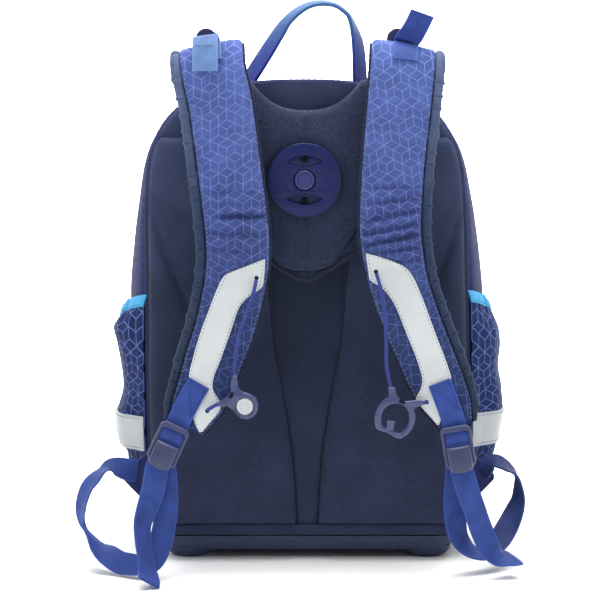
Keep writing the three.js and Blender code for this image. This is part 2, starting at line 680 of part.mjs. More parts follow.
function yoke() {
  const surface = (raised) => (u, v) => {
    const far = Math.abs(u) * YOKE.half;
    const scoop = YOKE.neck + (YOKE.wing - YOKE.neck) * (far / 46) ** 2.6;
    const top = far < 46 ? scoop : YOKE.wing - Math.max(0, far - 53) * 0.16;
    const low = YOKE.low + YOKE_FOOT.rise * (Math.hypot(u * YOKE_FOOT.half, YOKE_FOOT.round) - YOKE_FOOT.round);
    const x = column(YOKE_HALF, "v", "half", v) * u + YOKE.shift;
    const round = (1 - Math.abs(u) ** 8) * (1 - Math.abs(2 * v - 1) ** 8);
    const y = raised ? YOKE.back - YOKE.rim - YOKE.swell * round : YOKE.back;
    return vec(x, y, low + (top - low) * v);
  };
  const across = [-1, -0.9, -0.65, -0.45, -0.34, -0.22, -0.1, 0.1, 0.22, 0.34, 0.45, 0.65, 0.9, 1];
  return layer(surface(true), surface(false), across, [0, 0.06, 0.2, 0.4, 0.6, 0.8, 0.94, 1]);
}

function eye(up) {
  const shape = new THREE.Shape();
  shape.moveTo(DISC.x - EYE.half, DISC.z + up);
  shape.quadraticCurveTo(DISC.x, DISC.z + up + EYE.tall, DISC.x + EYE.half, DISC.z + up);
  shape.quadraticCurveTo(DISC.x, DISC.z + up - EYE.tall, DISC.x - EYE.half, DISC.z + up);
  return plate(shape, DISC.recess, 12, 5);
}

function onDisc(geometry, up = 0) {
  return geometry.translate(DISC.x, 0, DISC.z + up);
}

function adjusterDisc() {
  const profile = [
    [0, DISC.back],
    [29.4, DISC.back],
    [DISC.radius, DISC.back - 1],
    [DISC.radius, DISC.back - 3.2],
    [29, DISC.back - 4.8],
    [26, DISC.front + 0.5],
    [0, DISC.front],
  ];
  const socket = onDisc(turned([[0, DISC.recess], [MEDAL.groove, DISC.recess], [MEDAL.groove, -50], [0, -50]], 20));
  return joined([onDisc(turned(profile, 30))], [eye(EYE.up), eye(EYE.down), socket]);
}

function adjusterMedallion() {
  const back = DISC.recess - 0.3;
  const front = DISC.front - 0.6;
  const profile = [[0, back], [MEDAL.radius, back], [MEDAL.radius, front + 0.7], [MEDAL.radius - 1, front], [0, front]];
  return onDisc(turned(profile, 20));
}

function adjusterScrew(up) {
  const back = DISC.recess - 0.3;
  return onDisc(turned([[0, back], [3.2, back], [3.2, back - 0.7], [2.4, back - 1.3], [0, back - 1.4]], 12), up);
}

// Shoulder strap: a runs across from -1 to 1, t along the rows of its table
function strapFrame(rows, t) {
  const last = rows.length - 1;
  const at = (k) => vec(column(rows, "i", "x", k), column(rows, "i", "y", k), column(rows, "i", "z", k));
  const along = at(Math.min(t + 0.02, last)).sub(at(Math.max(t - 0.02, 0))).normalize();
  const tilt = THREE.MathUtils.degToRad(column(rows, "i", "tilt", t));
  const across = vec(Math.cos(tilt), 0, Math.sin(tilt));
  across.addScaledVector(along, -across.dot(along)).normalize();
  return { at: at(t), across, normal: along.clone().cross(across), half: column(rows, "i", "half", t) };
}

function strapPoint(strap, a, t, lift, front = true) {
  const frame = strapFrame(strap.rows, t);
  const last = strap.rows.length - 1;
  const thin = clamp((t - (last - 2)) / 2, 0, 1);
  const thick = STRAP_HALF_THICK + (STRAP_END_THICK - STRAP_HALF_THICK) * thin;
  const round = thick * (1 - 0.5 * Math.abs(a) ** 5);
  let dent = 0;
  for (const crease of front && t > FOLD_ROW ? strap.creases : []) {
    const away = (frame.at.z - crease.z + crease.slant * a * frame.half) / crease.reach;
    dent += crease.deep * Math.exp(-away * away);
  }
  const height = front ? round - dent + lift : -round;
  return frame.at.addScaledVector(frame.across, a * frame.half).addScaledVector(frame.normal, height);
}

function strapSteps(rows) {
  const steps = [0];
  for (let k = 0; k < rows.length - 1; k += 1) {
    const length = vec(rows[k].x, rows[k].y, rows[k].z).distanceTo(vec(rows[k + 1].x, rows[k + 1].y, rows[k + 1].z));
    const parts = k === 1 || k === 2 ? 3 : Math.max(1, Math.round(length / STRAP_STEP));
    for (let part = 1; part <= parts; part += 1) steps.push(k + part / parts);
  }
  return steps;
}

// Place across and along a strap that lies behind a point of the picture plane
function strapPlace(strap, x, z) {
  let low = FOLD_ROW;
  let high = strap.rows.length - 1;
  const ahead = (t) => {
    const frame = strapFrame(strap.rows, t);
    const cross = frame.across;
    return (z - frame.at.z) * cross.x - (x - frame.at.x) * cross.z;
  };
  for (let k = 0; k < 40; k += 1) {
    const middle = (low + high) / 2;
    if (ahead(middle) < 0) low = middle;
    else high = middle;
  }
  const t = (low + high) / 2;
  const frame = strapFrame(strap.rows, t);
  const a = ((x - frame.at.x) * frame.across.x + (z - frame.at.z) * frame.across.z) / frame.half;
  return { a, t };
}

function strapPad(strap) {
  const front = (a, t) => strapPoint(strap, a, t, 0);
  const back = (a, t) => strapPoint(strap, a, t, 0, false);
  return layer(front, back, [-1, -0.71, 0, 0.9, 1].map((a) => a * strap.inward), strap.steps);
}

function strapCover(strap) {
  const across = [-0.71, 0, 0.9].map((a) => a * strap.inward);
  const top = (a, t) => strapPoint(strap, a, t, GAP + COVER);
  const under = (a, t) => strapPoint(strap, a, t, GAP);
  return layer(top, under, across, strap.steps);
}

function strapPatch(strap, given) {
  const rows = numbered(given);
  const surface = (lift) => (u, t) => {
    const x = column(rows, "i", "x0", t) * (1 - u) + column(rows, "i", "x1", t) * u;
    const z = column(rows, "i", "z0", t) * (1 - u) + column(rows, "i", "z1", t) * u;
    const place = strapPlace(strap, x, z);
    return strapPoint(strap, clamp(place.a, -0.9, 0.9), place.t, lift);
  };
  const base = 2.4 * GAP + COVER;
  const steps = rows.map((row) => row.i);
  return layer(surface(base + PATCH), surface(base), [0, 0.33, 0.67, 1], steps);
}

// From the frame of a buckle to the frame of the bag
function inBuckle(place, x, y, z) {
  const angle = THREE.MathUtils.degToRad(place.lean);
  const right = x * Math.cos(angle) + z * Math.sin(angle);
  return vec(place.x + right, place.y + y, place.z - x * Math.sin(angle) + z * Math.cos(angle));
}

function buckle(place) {
  const inner = WEB_WIDE / 2 + GAP;
  const outer = inner + BUCKLE.rail;
  const front = LIP.topY - LIP.thick;
  const rails = [-1, 1].map((side) => {
    const x = [side * inner, side * outer].sort((a, b) => a - b);
    return block(x[0], x[1], front, BUCKLE.deep, BUCKLE.railEnd, BUCKLE.bar);
  });
  const bar = block(-outer, outer, -BUCKLE.bar, BUCKLE.bar, -BUCKLE.bar, BUCKLE.bar);
  const middle = BUCKLE.middle;
  const middleBar = block(-outer, outer, GAP, 2.2, middle - BUCKLE.middleHalf, middle + BUCKLE.middleHalf);
  const lip = stack(
    [-1, 1].map((side) => {
      const x = side * outer;
      const end = side * LIP.half;
      return [
        vec(x, LIP.topY, LIP.top),
        vec(end, LIP.endY, LIP.end),
        vec(end, LIP.endY - LIP.thick, LIP.end),
        vec(x, front, LIP.top),
      ];
    }),
  );
  const made = joined([...rails, bar, middleBar, lip]);
  made.rotateY(THREE.MathUtils.degToRad(place.lean));
  return made.translate(place.x, place.y, place.z);
}

const acrossBuckle = (place, sign) => {
  const angle = THREE.MathUtils.degToRad(place.lean);
  return { wx: sign * Math.cos(angle), wy: 0, wz: -sign * Math.sin(angle) };
};

function strapTab(strap, place, points) {
  const lift = 4 * GAP + COVER + PATCH + WEB_THICK / 2;
  const lying = points.map(({ x, z }) => {
    const spot = strapPlace(strap, x, z);
    return { ...strapPoint(strap, spot.a, spot.t, lift), ...acrossBuckle(place, 1) };
  });
  const round = TAB_ROUTE.map(({ y, z }) => ({ ...inBuckle(place, 0, y, z), ...acrossBuckle(place, 1) }));
  return tape([...lying, ...round], WEB_WIDE, WEB_THICK, 20);
}

function strapWeb(place, loop, tail, sign) {
  const through = BUCKLE_ROUTE.map(({ y, z }) => ({ ...inBuckle(place, 0, y, z), ...acrossBuckle(place, sign) }));
  const rows = [...loop, ...through, ...tail];
  return tape(rows, WEB_WIDE, WEB_THICK, (rows.length - 1) * 2);
}

function webWing(side) {
  const points = [
    [side * WING.seam, WING.top],
    [side * WING.seam, WING.foot],
    [side * WING.tip, WING.tipZ],
  ];
  return plate(outlined(points), WING.back, WING.thick);
}

function lifterTab(strap, free) {
  const lift = 2 * GAP + COVER + WEB_THICK / 2;
  const lying = LIFTER_ON_STRAP.map((t) => {
    const frame = strapFrame(strap.rows, t);
    const { x: wx, y: wy, z: wz } = frame.across;
    return { ...strapPoint(strap, strap.lifter, t, lift), wx, wy, wz };
  });
  return tape([...lying, ...free], LIFTER_WIDE, WEB_THICK, 22);
}

function lifterLip(x) {
  const shape = new THREE.Shape();
  shape.moveTo(x - LIFTER_LIP.radius, LIFTER_LIP.foot);
  shape.lineTo(x + LIFTER_LIP.radius, LIFTER_LIP.foot);
  shape.lineTo(x + LIFTER_LIP.radius, LIFTER_LIP.foot + 3);
  shape.absarc(x, LIFTER_LIP.foot + 3, LIFTER_LIP.radius, 0, Math.PI);
  return plate(shape, LIFTER_LIP.back, LIFTER_LIP.thick, 8);
}

function ring(clip) {
  const half = clip.thick / 2;
  const rows = [
    [clip.inner, half],
    [clip.inner, -half + 0.8],
    [clip.inner + 1, -half],
    [clip.outer - 1, -half],
    [clip.outer, -half + 0.8],
    [clip.outer, half],
    [clip.inner, half],
  ];
  return turned(rows, RING_SIDES).translate(clip.x, clip.y, clip.z);
}

function chestClip(clip, line, bridge, cuts) {
  const held = line.slice(clip.from, clip.to + 1);
  const bore = line.slice(clip.from - 1, clip.to + 2);
  const sleeve = cord(held, SLEEVE_RADIUS, 6);
  const web = plate(outlined(bridge), clip.y + 2, 4);
  const hole = turned([[0, -9], [clip.inner, -9], [clip.inner, 9], [0, 9]], RING_SIDES).translate(clip.x, clip.y, clip.z);
  return joined([ring(clip), sleeve, web], [hole, cord(bore, BORE_RADIUS, 9), ...cuts]);
}

function chestClipLeft() {
  const bridge = [[-60.5, 158], [-65.5, 150.5], [-68, 143.5], [-60, 134], [-50, 150]];
  return chestClip(CLIP_LEFT, CORD_LEFT, bridge, []);
}

function chestClipRight() {
  const bridge = [[66.5, 153], [72, 149], [82, 145.5], [84, 138], [70, 144], [62, 143.5]];
  const opening = outlined([[40, 128], [73.4, 114.6], [76, 100], [40, 100]]);
  return chestClip(CLIP_RIGHT, CORD_RIGHT, bridge, [plate(opening, CLIP_RIGHT.y + 9, 18)]);
}

function chestButton() {
  const rows = [[0, -1.9], [BUTTON_RADIUS - 0.8, -1.9], [BUTTON_RADIUS, -1.1], [BUTTON_RADIUS, 1.9], [0, 1.9]];
  return turned(rows, 20).translate(CLIP_LEFT.x, CLIP_LEFT.y, CLIP_LEFT.z);
}

// Side pocket: w runs from the back seam to the front, z up
function pocketPoint(side, w, z, lift) {
  const t = edgeAt(z);
  const s = POCKET.start + POCKET.share * w;
  const row = column(POCKET_ROWS, "z", "bulge", clamp(z, POCKET_ROWS[0].z, 205));
  const gathered = clamp((z - 165) / 40, 0, 1) * POCKET.gather * Math.sin(2 * Math.PI * POCKET.gathers * w);
  const swollen = Math.max(0, Math.sin(Math.PI * w)) ** 0.55;
  const out = row * swollen + gathered * swollen;
  return shellPoint(side > 0 ? t : 1 - t, s, GAP + 0.3 + out + lift);
}

const pocketMouth = (w) => TRIM.rise * (1 - Math.min(1, w * 2.6)) ** 2;

function sidePocket(side) {
  const surface = (lift) => (w, z) => {
    const rise = clamp((z - 172) / 33, 0, 1) * pocketMouth(w);
    return pocketPoint(side, w, z, lift).add(vec(0, 0, rise));
  };
  return layer(surface(CLOTH), surface(0), spread(POCKET.columns), POCKET_ROWS.map((row) => row.z));
}

function pocketTrim(side) {
  const surface = (lift) => (w, v) =>
    pocketPoint(side, w, 205, lift - 0.2).add(vec(0, 0, pocketMouth(w) + GAP + v * TRIM.tall));
  return layer(surface(TRIM.thick), surface(0), spread(POCKET.columns), [0, 1]);
}

function pocketBand(side) {
  const surface = (lift) => (w, z) => pocketPoint(side, w, z, CLOTH + GAP + lift);
  return layer(surface(PATCH), surface(0), spread(POCKET.columns), BAND_ROWS);
}

function mainZip() {
  const surface = (lift) => (t, s) => shellPoint(t, s, GAP + lift);
  const around = spread(AROUND).slice(ZIP.low, ZIP.high + 1);
  return layer(surface(ZIP.thick), surface(0), around, [ZIP.from, ZIP.to]);
}

const straps = {
  left: { rows: numbered(STRAP_LEFT), creases: CREASES_LEFT, inward: 1, lifter: 0.08 },
  right: { rows: numbered(STRAP_RIGHT), creases: CREASES_RIGHT, inward: -1, lifter: -0.08 },
};
for (const strap of Object.values(straps)) strap.steps = strapSteps(strap.rows);

piece("side_shell", sideShell(), "print");
piece("front_panel", frontPanel(), "print");
piece("main_zip", mainZip(), "navy", 0.6);
piece("back_panel", backPanel(), "navy");
piece("back_pad_left", backPad(-1), "mesh");
piece("back_pad_right", backPad(1), "mesh");
piece("base_tray", baseTray(), "base", 0.5);
piece("yoke", yoke(), "navy");
piece("adjuster_disc", adjusterDisc(), "disc", 0.4);
piece("adjuster_medallion", adjusterMedallion(), "disc", 0.35);
piece("adjuster_screw_upper", adjusterScrew(EYE.up + 2), "screw", 0.5);
piece("adjuster_screw_lower", adjusterScrew(EYE.down - 1), "screw", 0.5);
piece("handle", tape(HANDLE, HANDLE_WIDE, HANDLE_THICK, 26), "webbing");
piece("strap_pad_left", strapPad(straps.left), "slate");
piece("strap_pad_right", strapPad(straps.right), "slate");
piece("strap_cover_left", strapCover(straps.left), "print");
piece("strap_cover_right", strapCover(straps.right), "print");
piece("strap_patch_left", strapPatch(straps.left, PATCH_LEFT), "reflective", 0.5);
piece("strap_patch_right", strapPatch(straps.right, PATCH_RIGHT), "reflective", 0.5);
piece("strap_tab_left", strapTab(straps.left, BUCKLE_LEFT, TAB_LEFT), "webbing");
piece("strap_tab_right", strapTab(straps.right, BUCKLE_RIGHT, TAB_RIGHT), "webbing");
piece("buckle_left", buckle(BUCKLE_LEFT), "buckle", 0.4);
piece("buckle_right", buckle(BUCKLE_RIGHT), "buckle", 0.4);
piece("strap_web_left", strapWeb(BUCKLE_LEFT, LOOP_LEFT, TAIL_LEFT, -1), "webbing");
piece("strap_web_right", strapWeb(BUCKLE_RIGHT, LOOP_RIGHT, TAIL_RIGHT, 1), "webbing");
piece("web_wing_left", webWing(-1), "pocket");
piece("web_wing_right", webWing(1), "pocket");
piece("lifter_tab_left", lifterTab(straps.left, LIFTER_LEFT), "tab");
piece("lifter_tab_right", lifterTab(straps.right, LIFTER_RIGHT), "webbing");
piece("lifter_lip_left", lifterLip(LIFTER_LIP.left), "buckle", 0.4);
piece("lifter_lip_right", lifterLip(LIFTER_LIP.right), "buckle", 0.4);
piece("chest_cord_left", cord(CORD_LEFT, CORD_RADIUS, 24), "cord");
piece("chest_cord_right", cord(CORD_RIGHT, CORD_RADIUS, 24), "cord");
piece("chest_clip_left", chestClipLeft(), "clip", 0.35);
piece("chest_clip_right", chestClipRight(), "clip", 0.35);
piece("chest_button", chestButton(), "white", 0.4);
piece("side_pocket_left", sidePocket(-1), "pocket");
piece("side_pocket_right", sidePocket(1), "pocket");
piece("pocket_trim_left", pocketTrim(-1), "trim", 0.6);
piece("pocket_trim_right", pocketTrim(1), "trim", 0.6);
piece("pocket_band_left", pocketBand(-1), "reflective", 0.5);
piece("pocket_band_right", pocketBand(1), "reflective", 0.5);

// The origin lies on the floor under the middle of the whole thing
const whole = new THREE.Box3().setFromObject(group);
group.position.set(-(whole.min.x + whole.max.x) / 2, -(whole.min.y + whole.max.y) / 2, -whole.min.z);

export default group;
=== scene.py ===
# %% [markdown]
# # School backpack, seen from its wearer's side
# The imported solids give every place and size. Each soft piece is then made again as cloth,
# foam or webbing, with its seams, stitches and print. Lengths in the tables are millimetres
# from the middle of the bag's back seam on the floor: x to the right, y away from the wearer.

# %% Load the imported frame
import math

import bpy
import numpy as np
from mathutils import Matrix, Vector, noise


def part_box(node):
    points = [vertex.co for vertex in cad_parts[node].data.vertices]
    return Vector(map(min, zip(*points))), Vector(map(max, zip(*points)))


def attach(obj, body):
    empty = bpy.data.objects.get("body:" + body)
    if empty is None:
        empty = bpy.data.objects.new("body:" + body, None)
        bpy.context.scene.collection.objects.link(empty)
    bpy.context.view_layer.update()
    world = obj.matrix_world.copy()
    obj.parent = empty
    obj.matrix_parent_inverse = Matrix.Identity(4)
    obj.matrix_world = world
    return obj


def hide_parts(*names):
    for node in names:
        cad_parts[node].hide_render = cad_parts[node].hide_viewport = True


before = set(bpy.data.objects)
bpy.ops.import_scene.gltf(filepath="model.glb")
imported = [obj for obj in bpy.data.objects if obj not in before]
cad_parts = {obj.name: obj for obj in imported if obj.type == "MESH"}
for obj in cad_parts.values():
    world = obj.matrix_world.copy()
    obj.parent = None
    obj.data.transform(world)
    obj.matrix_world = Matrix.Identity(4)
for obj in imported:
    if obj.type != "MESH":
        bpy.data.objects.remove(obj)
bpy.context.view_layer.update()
MM = 0.001
GAP = 0.4
MIDDLE_X = sum(corner.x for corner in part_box("base_tray")) / 2
BACK_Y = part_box("back_panel")[1].y + GAP * MM


def at(x, y, z):
    """A place of the tables as a point of the frame, in metres."""
    return Vector((MIDDLE_X + x * MM, BACK_Y + y * MM, z * MM))


# %% [markdown]
# The camera comes first. The photograph was taken from about two metres with a long lens, a
# little above the middle of the bag.

# %% Camera
AIM = at(-7.2, 0, 220)
CAMERA_AWAY = 1.9
CAMERA_RISE = math.radians(5)
eye_place = AIM + CAMERA_AWAY * Vector((0, -math.cos(CAMERA_RISE), math.sin(CAMERA_RISE)))
bpy.ops.object.camera_add(location=eye_place, rotation=(math.pi / 2 - CAMERA_RISE, 0, 0))
camera = bpy.context.object
camera.name = "photo_camera"
camera.data.lens = 135
camera.data.sensor_width = 36
camera.data.clip_end = 50
bpy.context.scene.camera = camera
print("camera", [round(v, 3) for v in eye_place])

# %% [markdown]
# Cloth follows smooth lines, so every table is read through one curve that passes through its
# rows. The same small function serves the outline, the straps, the webbing and the cords.


# %% Smooth reading of a table
def smooth(keys, values, key):
    """The value at a key between the rows, on a curve through all of them."""
    last = len(keys) - 1
    k = 0
    while k < last - 1 and keys[k + 1] < key:
        k += 1
    before, after = max(k - 1, 0), min(k + 2, last)
    span = keys[k + 1] - keys[k]
    t = min(max((key - keys[k]) / span, 0), 1)
    leave = (values[k + 1] - values[before]) / (keys[k + 1] - keys[before]) * span
    reach = (values[after] - values[k]) / (keys[after] - keys[k]) * span
    bend = t * t * (3 - 2 * t)
    ends = values[k] * (1 - bend) + values[k + 1] * bend
    return ends + leave * t * (1 - t) ** 2 - reach * t * t * (1 - t)


def along_rows(rows, t, columns=3):
    """The first columns of a table at row number t, which may lie between two rows."""
    keys = range(len(rows))
    return [smooth(keys, [row[c] for row in rows], t) for c in range(columns)]


def clamp(value, low=0.0, high=1.0):
    return min(max(value, low), high)


def length_run(points):
    """Length of a line from its start to each of its points."""
    line = np.array([tuple(point) for point in points])
    return np.concatenate([[0], np.cumsum(np.linalg.norm(np.diff(line, axis=0), axis=1))])


# %% [markdown]
# One function adds a shader node, sets its settings and links its inputs. Colours are read off
# as sRGB hex values and turned to the linear values that a renderer works with. Every material
# is closed by one principled shader, whose uniform values sit on its own sockets.


# %% Shader helpers
def linear(code):
    """Linear colour of an sRGB hex code."""
    parts = [int(code[k:k + 2], 16) / 255 for k in (1, 3, 5)]
    return [p / 12.92 if p < 0.04045 else ((p + 0.055) / 1.055) ** 2.4 for p in parts] + [1.0]


def add(tree, kind, inputs=None, **settings):
    """A new node with its settings; a node or socket given as an input is linked to it."""
    made = tree.nodes.new("ShaderNode" + kind)
    for name, value in settings.items():
        setattr(made, name, value)
    for key, value in (inputs or {}).items():
        if isinstance(value, bpy.types.Node):
            value = next(socket for socket in value.outputs if socket.enabled)
        if isinstance(value, bpy.types.NodeSocket):
            tree.links.new(value, made.inputs[key])
        else:
            made.inputs[key].default_value = value
    return made


def start_material(name):
    made = bpy.data.materials.new(name)
    made.use_nodes = True
    made.node_tree.nodes.clear()
    return made, made.node_tree


def close_material(tree, colour, height=None, depth_mm=0.0, **sockets):
    """Ends a material with its colour, the bump of a height between 0 and 1, and its values."""
    inputs = {"Base Color": colour}
    if height is not None:
        inputs["Normal"] = add(tree, "Bump", {"Height": height, "Distance": depth_mm * MM})
    for key, value in sockets.items():
        inputs[key.replace("_", " ").title().replace("Ior", "IOR")] = value
    add(tree, "OutputMaterial", {"Surface": add(tree, "BsdfPrincipled", inputs)})


def per(size_mm):
    """Scale of a noise whose spots are that large."""
    return 1 / (size_mm * MM)


def pitch(size_mm):
    """Scale of a wave whose period is that long."""
    return math.pi / 10 / (size_mm * MM)


# %% [markdown]
# The print on the cloth is the old tumbling block pattern: hexagons of thin lines, each with
# three spokes that make a cube of it. Some cubes are turned over, which breaks the order up.
# It is drawn by distance, so the lines stay sharp at any zoom.

# %% Tumbling block lines
BLOCK_EDGE = 7.7
LINE_WIDE = 0.5
HALF_WIDE = math.sqrt(3) / 2


def block_lines(tree, vector):
    """One on a printed line and zero between the lines, for a vector in metres."""
    scaled = add(tree, "VectorMath", {0: vector, 1: [per(BLOCK_EDGE)] * 3}, operation="MULTIPLY")
    ends = {1: (HALF_WIDE, 1.5, 1), 2: (-HALF_WIDE, -1.5, -1)}
    even = add(tree, "VectorMath", {0: scaled, **ends}, operation="WRAP")
    moved = add(tree, "VectorMath", {0: scaled, 1: (HALF_WIDE, 1.5, 0)}, operation="ADD")
    odd = add(tree, "VectorMath", {0: moved, **ends}, operation="WRAP")
    far = [add(tree, "VectorMath", {0: v}, operation="LENGTH") for v in (even, odd)]
    nearer = add(tree, "Math", {0: far[0], 1: far[1]}, operation="LESS_THAN")
    here = add(tree, "Mix", {0: nearer, 4: odd, 5: even}, data_type="VECTOR")
    cell = add(tree, "VectorMath", {0: scaled, 1: here}, operation="SUBTRACT")
    count = add(
        tree, "VectorMath", {0: cell, 1: (1 / HALF_WIDE, 2 / 3, 0), 2: (0.5, 0.5, 0)},
        operation="MULTIPLY_ADD",
    )
    number = add(tree, "VectorMath", {0: count}, operation="FLOOR")
    chance = add(tree, "TexWhiteNoise", {"Vector": number}, noise_dimensions="2D")
    over = add(tree, "Math", {0: chance, 1: 0.5}, operation="GREATER_THAN")
    turn = add(tree, "Math", {0: over, 1: 2.0, 2: -1.0}, operation="MULTIPLY_ADD")
    split = add(tree, "SeparateXYZ", {0: here}).outputs
    side = add(tree, "Math", {0: split[0]}, operation="ABSOLUTE")
    tall = add(tree, "Math", {0: split[1]}, operation="ABSOLUTE")
    up = add(tree, "Math", {0: split[1], 1: turn}, operation="MULTIPLY")
    lean = add(tree, "Math", {0: side, 1: 0.5}, operation="MULTIPLY")
    rim = add(tree, "Math", {0: tall, 1: HALF_WIDE, 2: lean}, operation="MULTIPLY_ADD")
    outer = add(tree, "Math", {0: side, 1: rim}, operation="MAXIMUM")
    border = add(tree, "Math", {0: HALF_WIDE, 1: outer}, operation="SUBTRACT")
    slant = add(tree, "Math", {0: up, 1: HALF_WIDE, 2: lean}, operation="MULTIPLY_ADD")
    slanted = add(tree, "Math", {0: slant}, operation="ABSOLUTE")
    limit = add(tree, "Math", {0: side, 1: 1 / math.sqrt(3)}, operation="MULTIPLY")
    upper = add(tree, "Math", {0: up, 1: limit}, operation="GREATER_THAN")
    spoke = add(tree, "Mix", {0: upper, 2: slanted, 3: side}, data_type="FLOAT")
    distance = add(tree, "Math", {0: border, 1: spoke}, operation="MINIMUM")
    half = LINE_WIDE / 2 / BLOCK_EDGE
    fade = {"From Min": 0.5 * half, "From Max": 1.5 * half, "To Min": 1.0, "To Max": 0.0}
    return add(tree, "MapRange", {"Value": distance, **fade}, interpolation_type="SMOOTHSTEP")


# %% [markdown]
# The printed cloth is a plain woven polyester. Its ground colour runs from a clear blue at the
# top of the bag to navy at the foot, and the lines of the print are a paler violet. A fine
# weave, drawn coarser than the real thread so that it shows, keeps the surface from looking
# like plastic.


# %% Printed polyester
def graded(tree, stops):
    """Colour by height over the floor, from pairs of a height in millimetres and a hex code."""
    place = add(tree, "TexCoord").outputs["Object"]
    height = add(tree, "SeparateXYZ", {0: place}).outputs[2]
    low, high = stops[0][0], stops[-1][0]
    share = add(tree, "MapRange", {"Value": height, "From Min": low * MM, "From Max": high * MM})
    ramp = add(tree, "ValToRGB", {"Fac": share})
    marks = ramp.color_ramp.elements
    for level, code in stops[1:-1]:
        marks.new((level - low) / (high - low)).color = linear(code)
    marks[0].color = linear(stops[0][1])
    marks[-1].color = linear(stops[-1][1])
    return ramp


def toned(tree, colour, amount, low, high):
    """A colour made darker or lighter: its value runs from low to high with the amount."""
    ends = {"From Min": 0.3, "From Max": 0.7, "To Min": low, "To Max": high}
    value = add(tree, "MapRange", {"Value": amount, **ends})
    return add(tree, "HueSaturation", {"Value": value, "Color": colour})


def clouded(tree, colour, vector, size_mm, low, high, detail=3):
    """A colour that runs from low to high in soft clouds of that size."""
    clouds = add(tree, "TexNoise", {"Vector": vector, "Scale": per(size_mm), "Detail": detail})
    return toned(tree, colour, clouds, low, high)


THREAD, CRINKLE = 1.0, 2.2


def printed_polyester(name, ground, lines):
    """Woven polyester with the block print; ground and lines are colours by height."""
    made, tree = start_material(name)
    flat = add(tree, "UVMap")
    faded = clouded(tree, graded(tree, ground), flat, 22, 0.8, 1.16, 4)
    streaked = add(tree, "Mapping", {"Vector": flat, "Scale": (0.35, 1, 1)})
    crinkle = add(tree, "TexNoise", {"Vector": streaked, "Scale": per(CRINKLE), "Detail": 2})
    ribbed = toned(tree, faded, crinkle, 0.88, 1.12)
    wear_and_highlight = add(tree, "TexNoise", {"Vector": flat, "Scale": per(7)})
    kept = add(tree, "Math", {0: wear_and_highlight, 1: 0.4}, operation="ADD")
    drawn = add(tree, "Math", {0: block_lines(tree, flat), 1: kept}, operation="MULTIPLY", use_clamp=True)
    warp, weft = (
        add(tree, "TexWave", {"Vector": flat, "Scale": pitch(THREAD)}, bands_direction=way)
        for way in "XY"
    )
    weave = add(tree, "Math", {0: warp, 1: weft}, operation="MULTIPLY")
    height = add(tree, "Math", {0: weave, 1: crinkle}, operation="ADD")
    colour = add(tree, "Mix", {0: drawn, 6: ribbed, 7: graded(tree, lines)}, data_type="RGBA")
    close_material(tree, colour, height, 0.14, roughness=0.8, specular_ior_level=0.15, sheen_weight=0.03)
    return made


# %% Printed cloth of the bag
# Printed polyester reads as matt cloth with thin pale lines, clearest on the straps.
STRAP_GROUND = [(120, "#243056"), (188, "#29375f"), (297, "#3d4c82"), (367, "#4a5c99"), (430, "#4d609f")]
STRAP_LINES = [(120, "#414e89"), (230, "#5664a4"), (297, "#6975b9"), (430, "#828fd0")]
strap_print = printed_polyester("printed polyester, strap blue", STRAP_GROUND, STRAP_LINES)
# The wall and pocket prints are darker than the strap print: painted shade, as walls and pockets face
# sideways, away from the light.
wall_print = printed_polyester(
    "printed polyester, wall blue in painted shade",
    [(60, "#161f45"), (400, "#1f2a5a")], [(60, "#283263"), (400, "#363f79")],
)
pocket_print = printed_polyester(
    "printed polyester, pocket navy in painted shade",
    [(60, "#0c1b46"), (220, "#102453")], [(60, "#4e64a4"), (220, "#667dc0")],
)
print("printed cloth", strap_print.name, wall_print.name, pocket_print.name)

# %% [markdown]
# The wearer's side is dark: a smooth knit on the yoke and the middle of the back, and an air
# mesh with diagonal ribs on the cushions. Knit shows short bright flecks, wider than tall. The
# mesh shows as slanted rows of small holes about two millimetres apart. Both are drawn a little
# coarser than the real threads, so that they show.


# %% Navy knit and air mesh
def knitted(name, stops, dark, bright):
    """Smooth knitted polyester over foam: flecks wider than tall, on a cloudy ground."""
    made, tree = start_material(name)
    place = add(tree, "TexCoord").outputs["Object"]
    stretched = add(tree, "Mapping", {"Vector": place, "Scale": (1, 1, 2.4)})
    flecks = add(tree, "TexNoise", {"Vector": stretched, "Scale": per(1.9), "Detail": 1.0})
    cloudy = clouded(tree, graded(tree, stops), place, 35, 0.86, 1.14)
    close_material(
        tree, toned(tree, cloudy, flecks, dark, bright), flecks, 0.2,
        roughness=0.75, specular_ior_level=0.12, sheen_weight=0.03,
    )
    return made


def air_mesh(name, stops, pitch_mm=2.0):
    """Spacer mesh: slanted ribs with a row of holes between them."""
    made, tree = start_material(name)
    place = add(tree, "TexCoord").outputs["Object"]
    turned_place = add(tree, "Mapping", {"Vector": place, "Rotation": (0, math.radians(-58), 0)})
    ribs = add(
        tree, "TexWave", {"Vector": turned_place, "Scale": pitch(pitch_mm), "Distortion": 0.6},
        bands_direction="Z",
    )
    holes = add(
        tree, "TexWave", {"Vector": turned_place, "Scale": pitch(pitch_mm * 0.8)}, bands_direction="X",
    )
    solid = add(tree, "Math", {0: ribs, 1: holes}, operation="MAXIMUM")
    cloudy = clouded(tree, graded(tree, stops), place, 40, 0.86, 1.14)
    close_material(
        tree, toned(tree, cloudy, solid, 0.72, 1.12), solid, 0.35,
        roughness=0.85, specular_ior_level=0.1, sheen_weight=0.04,
    )
    return made
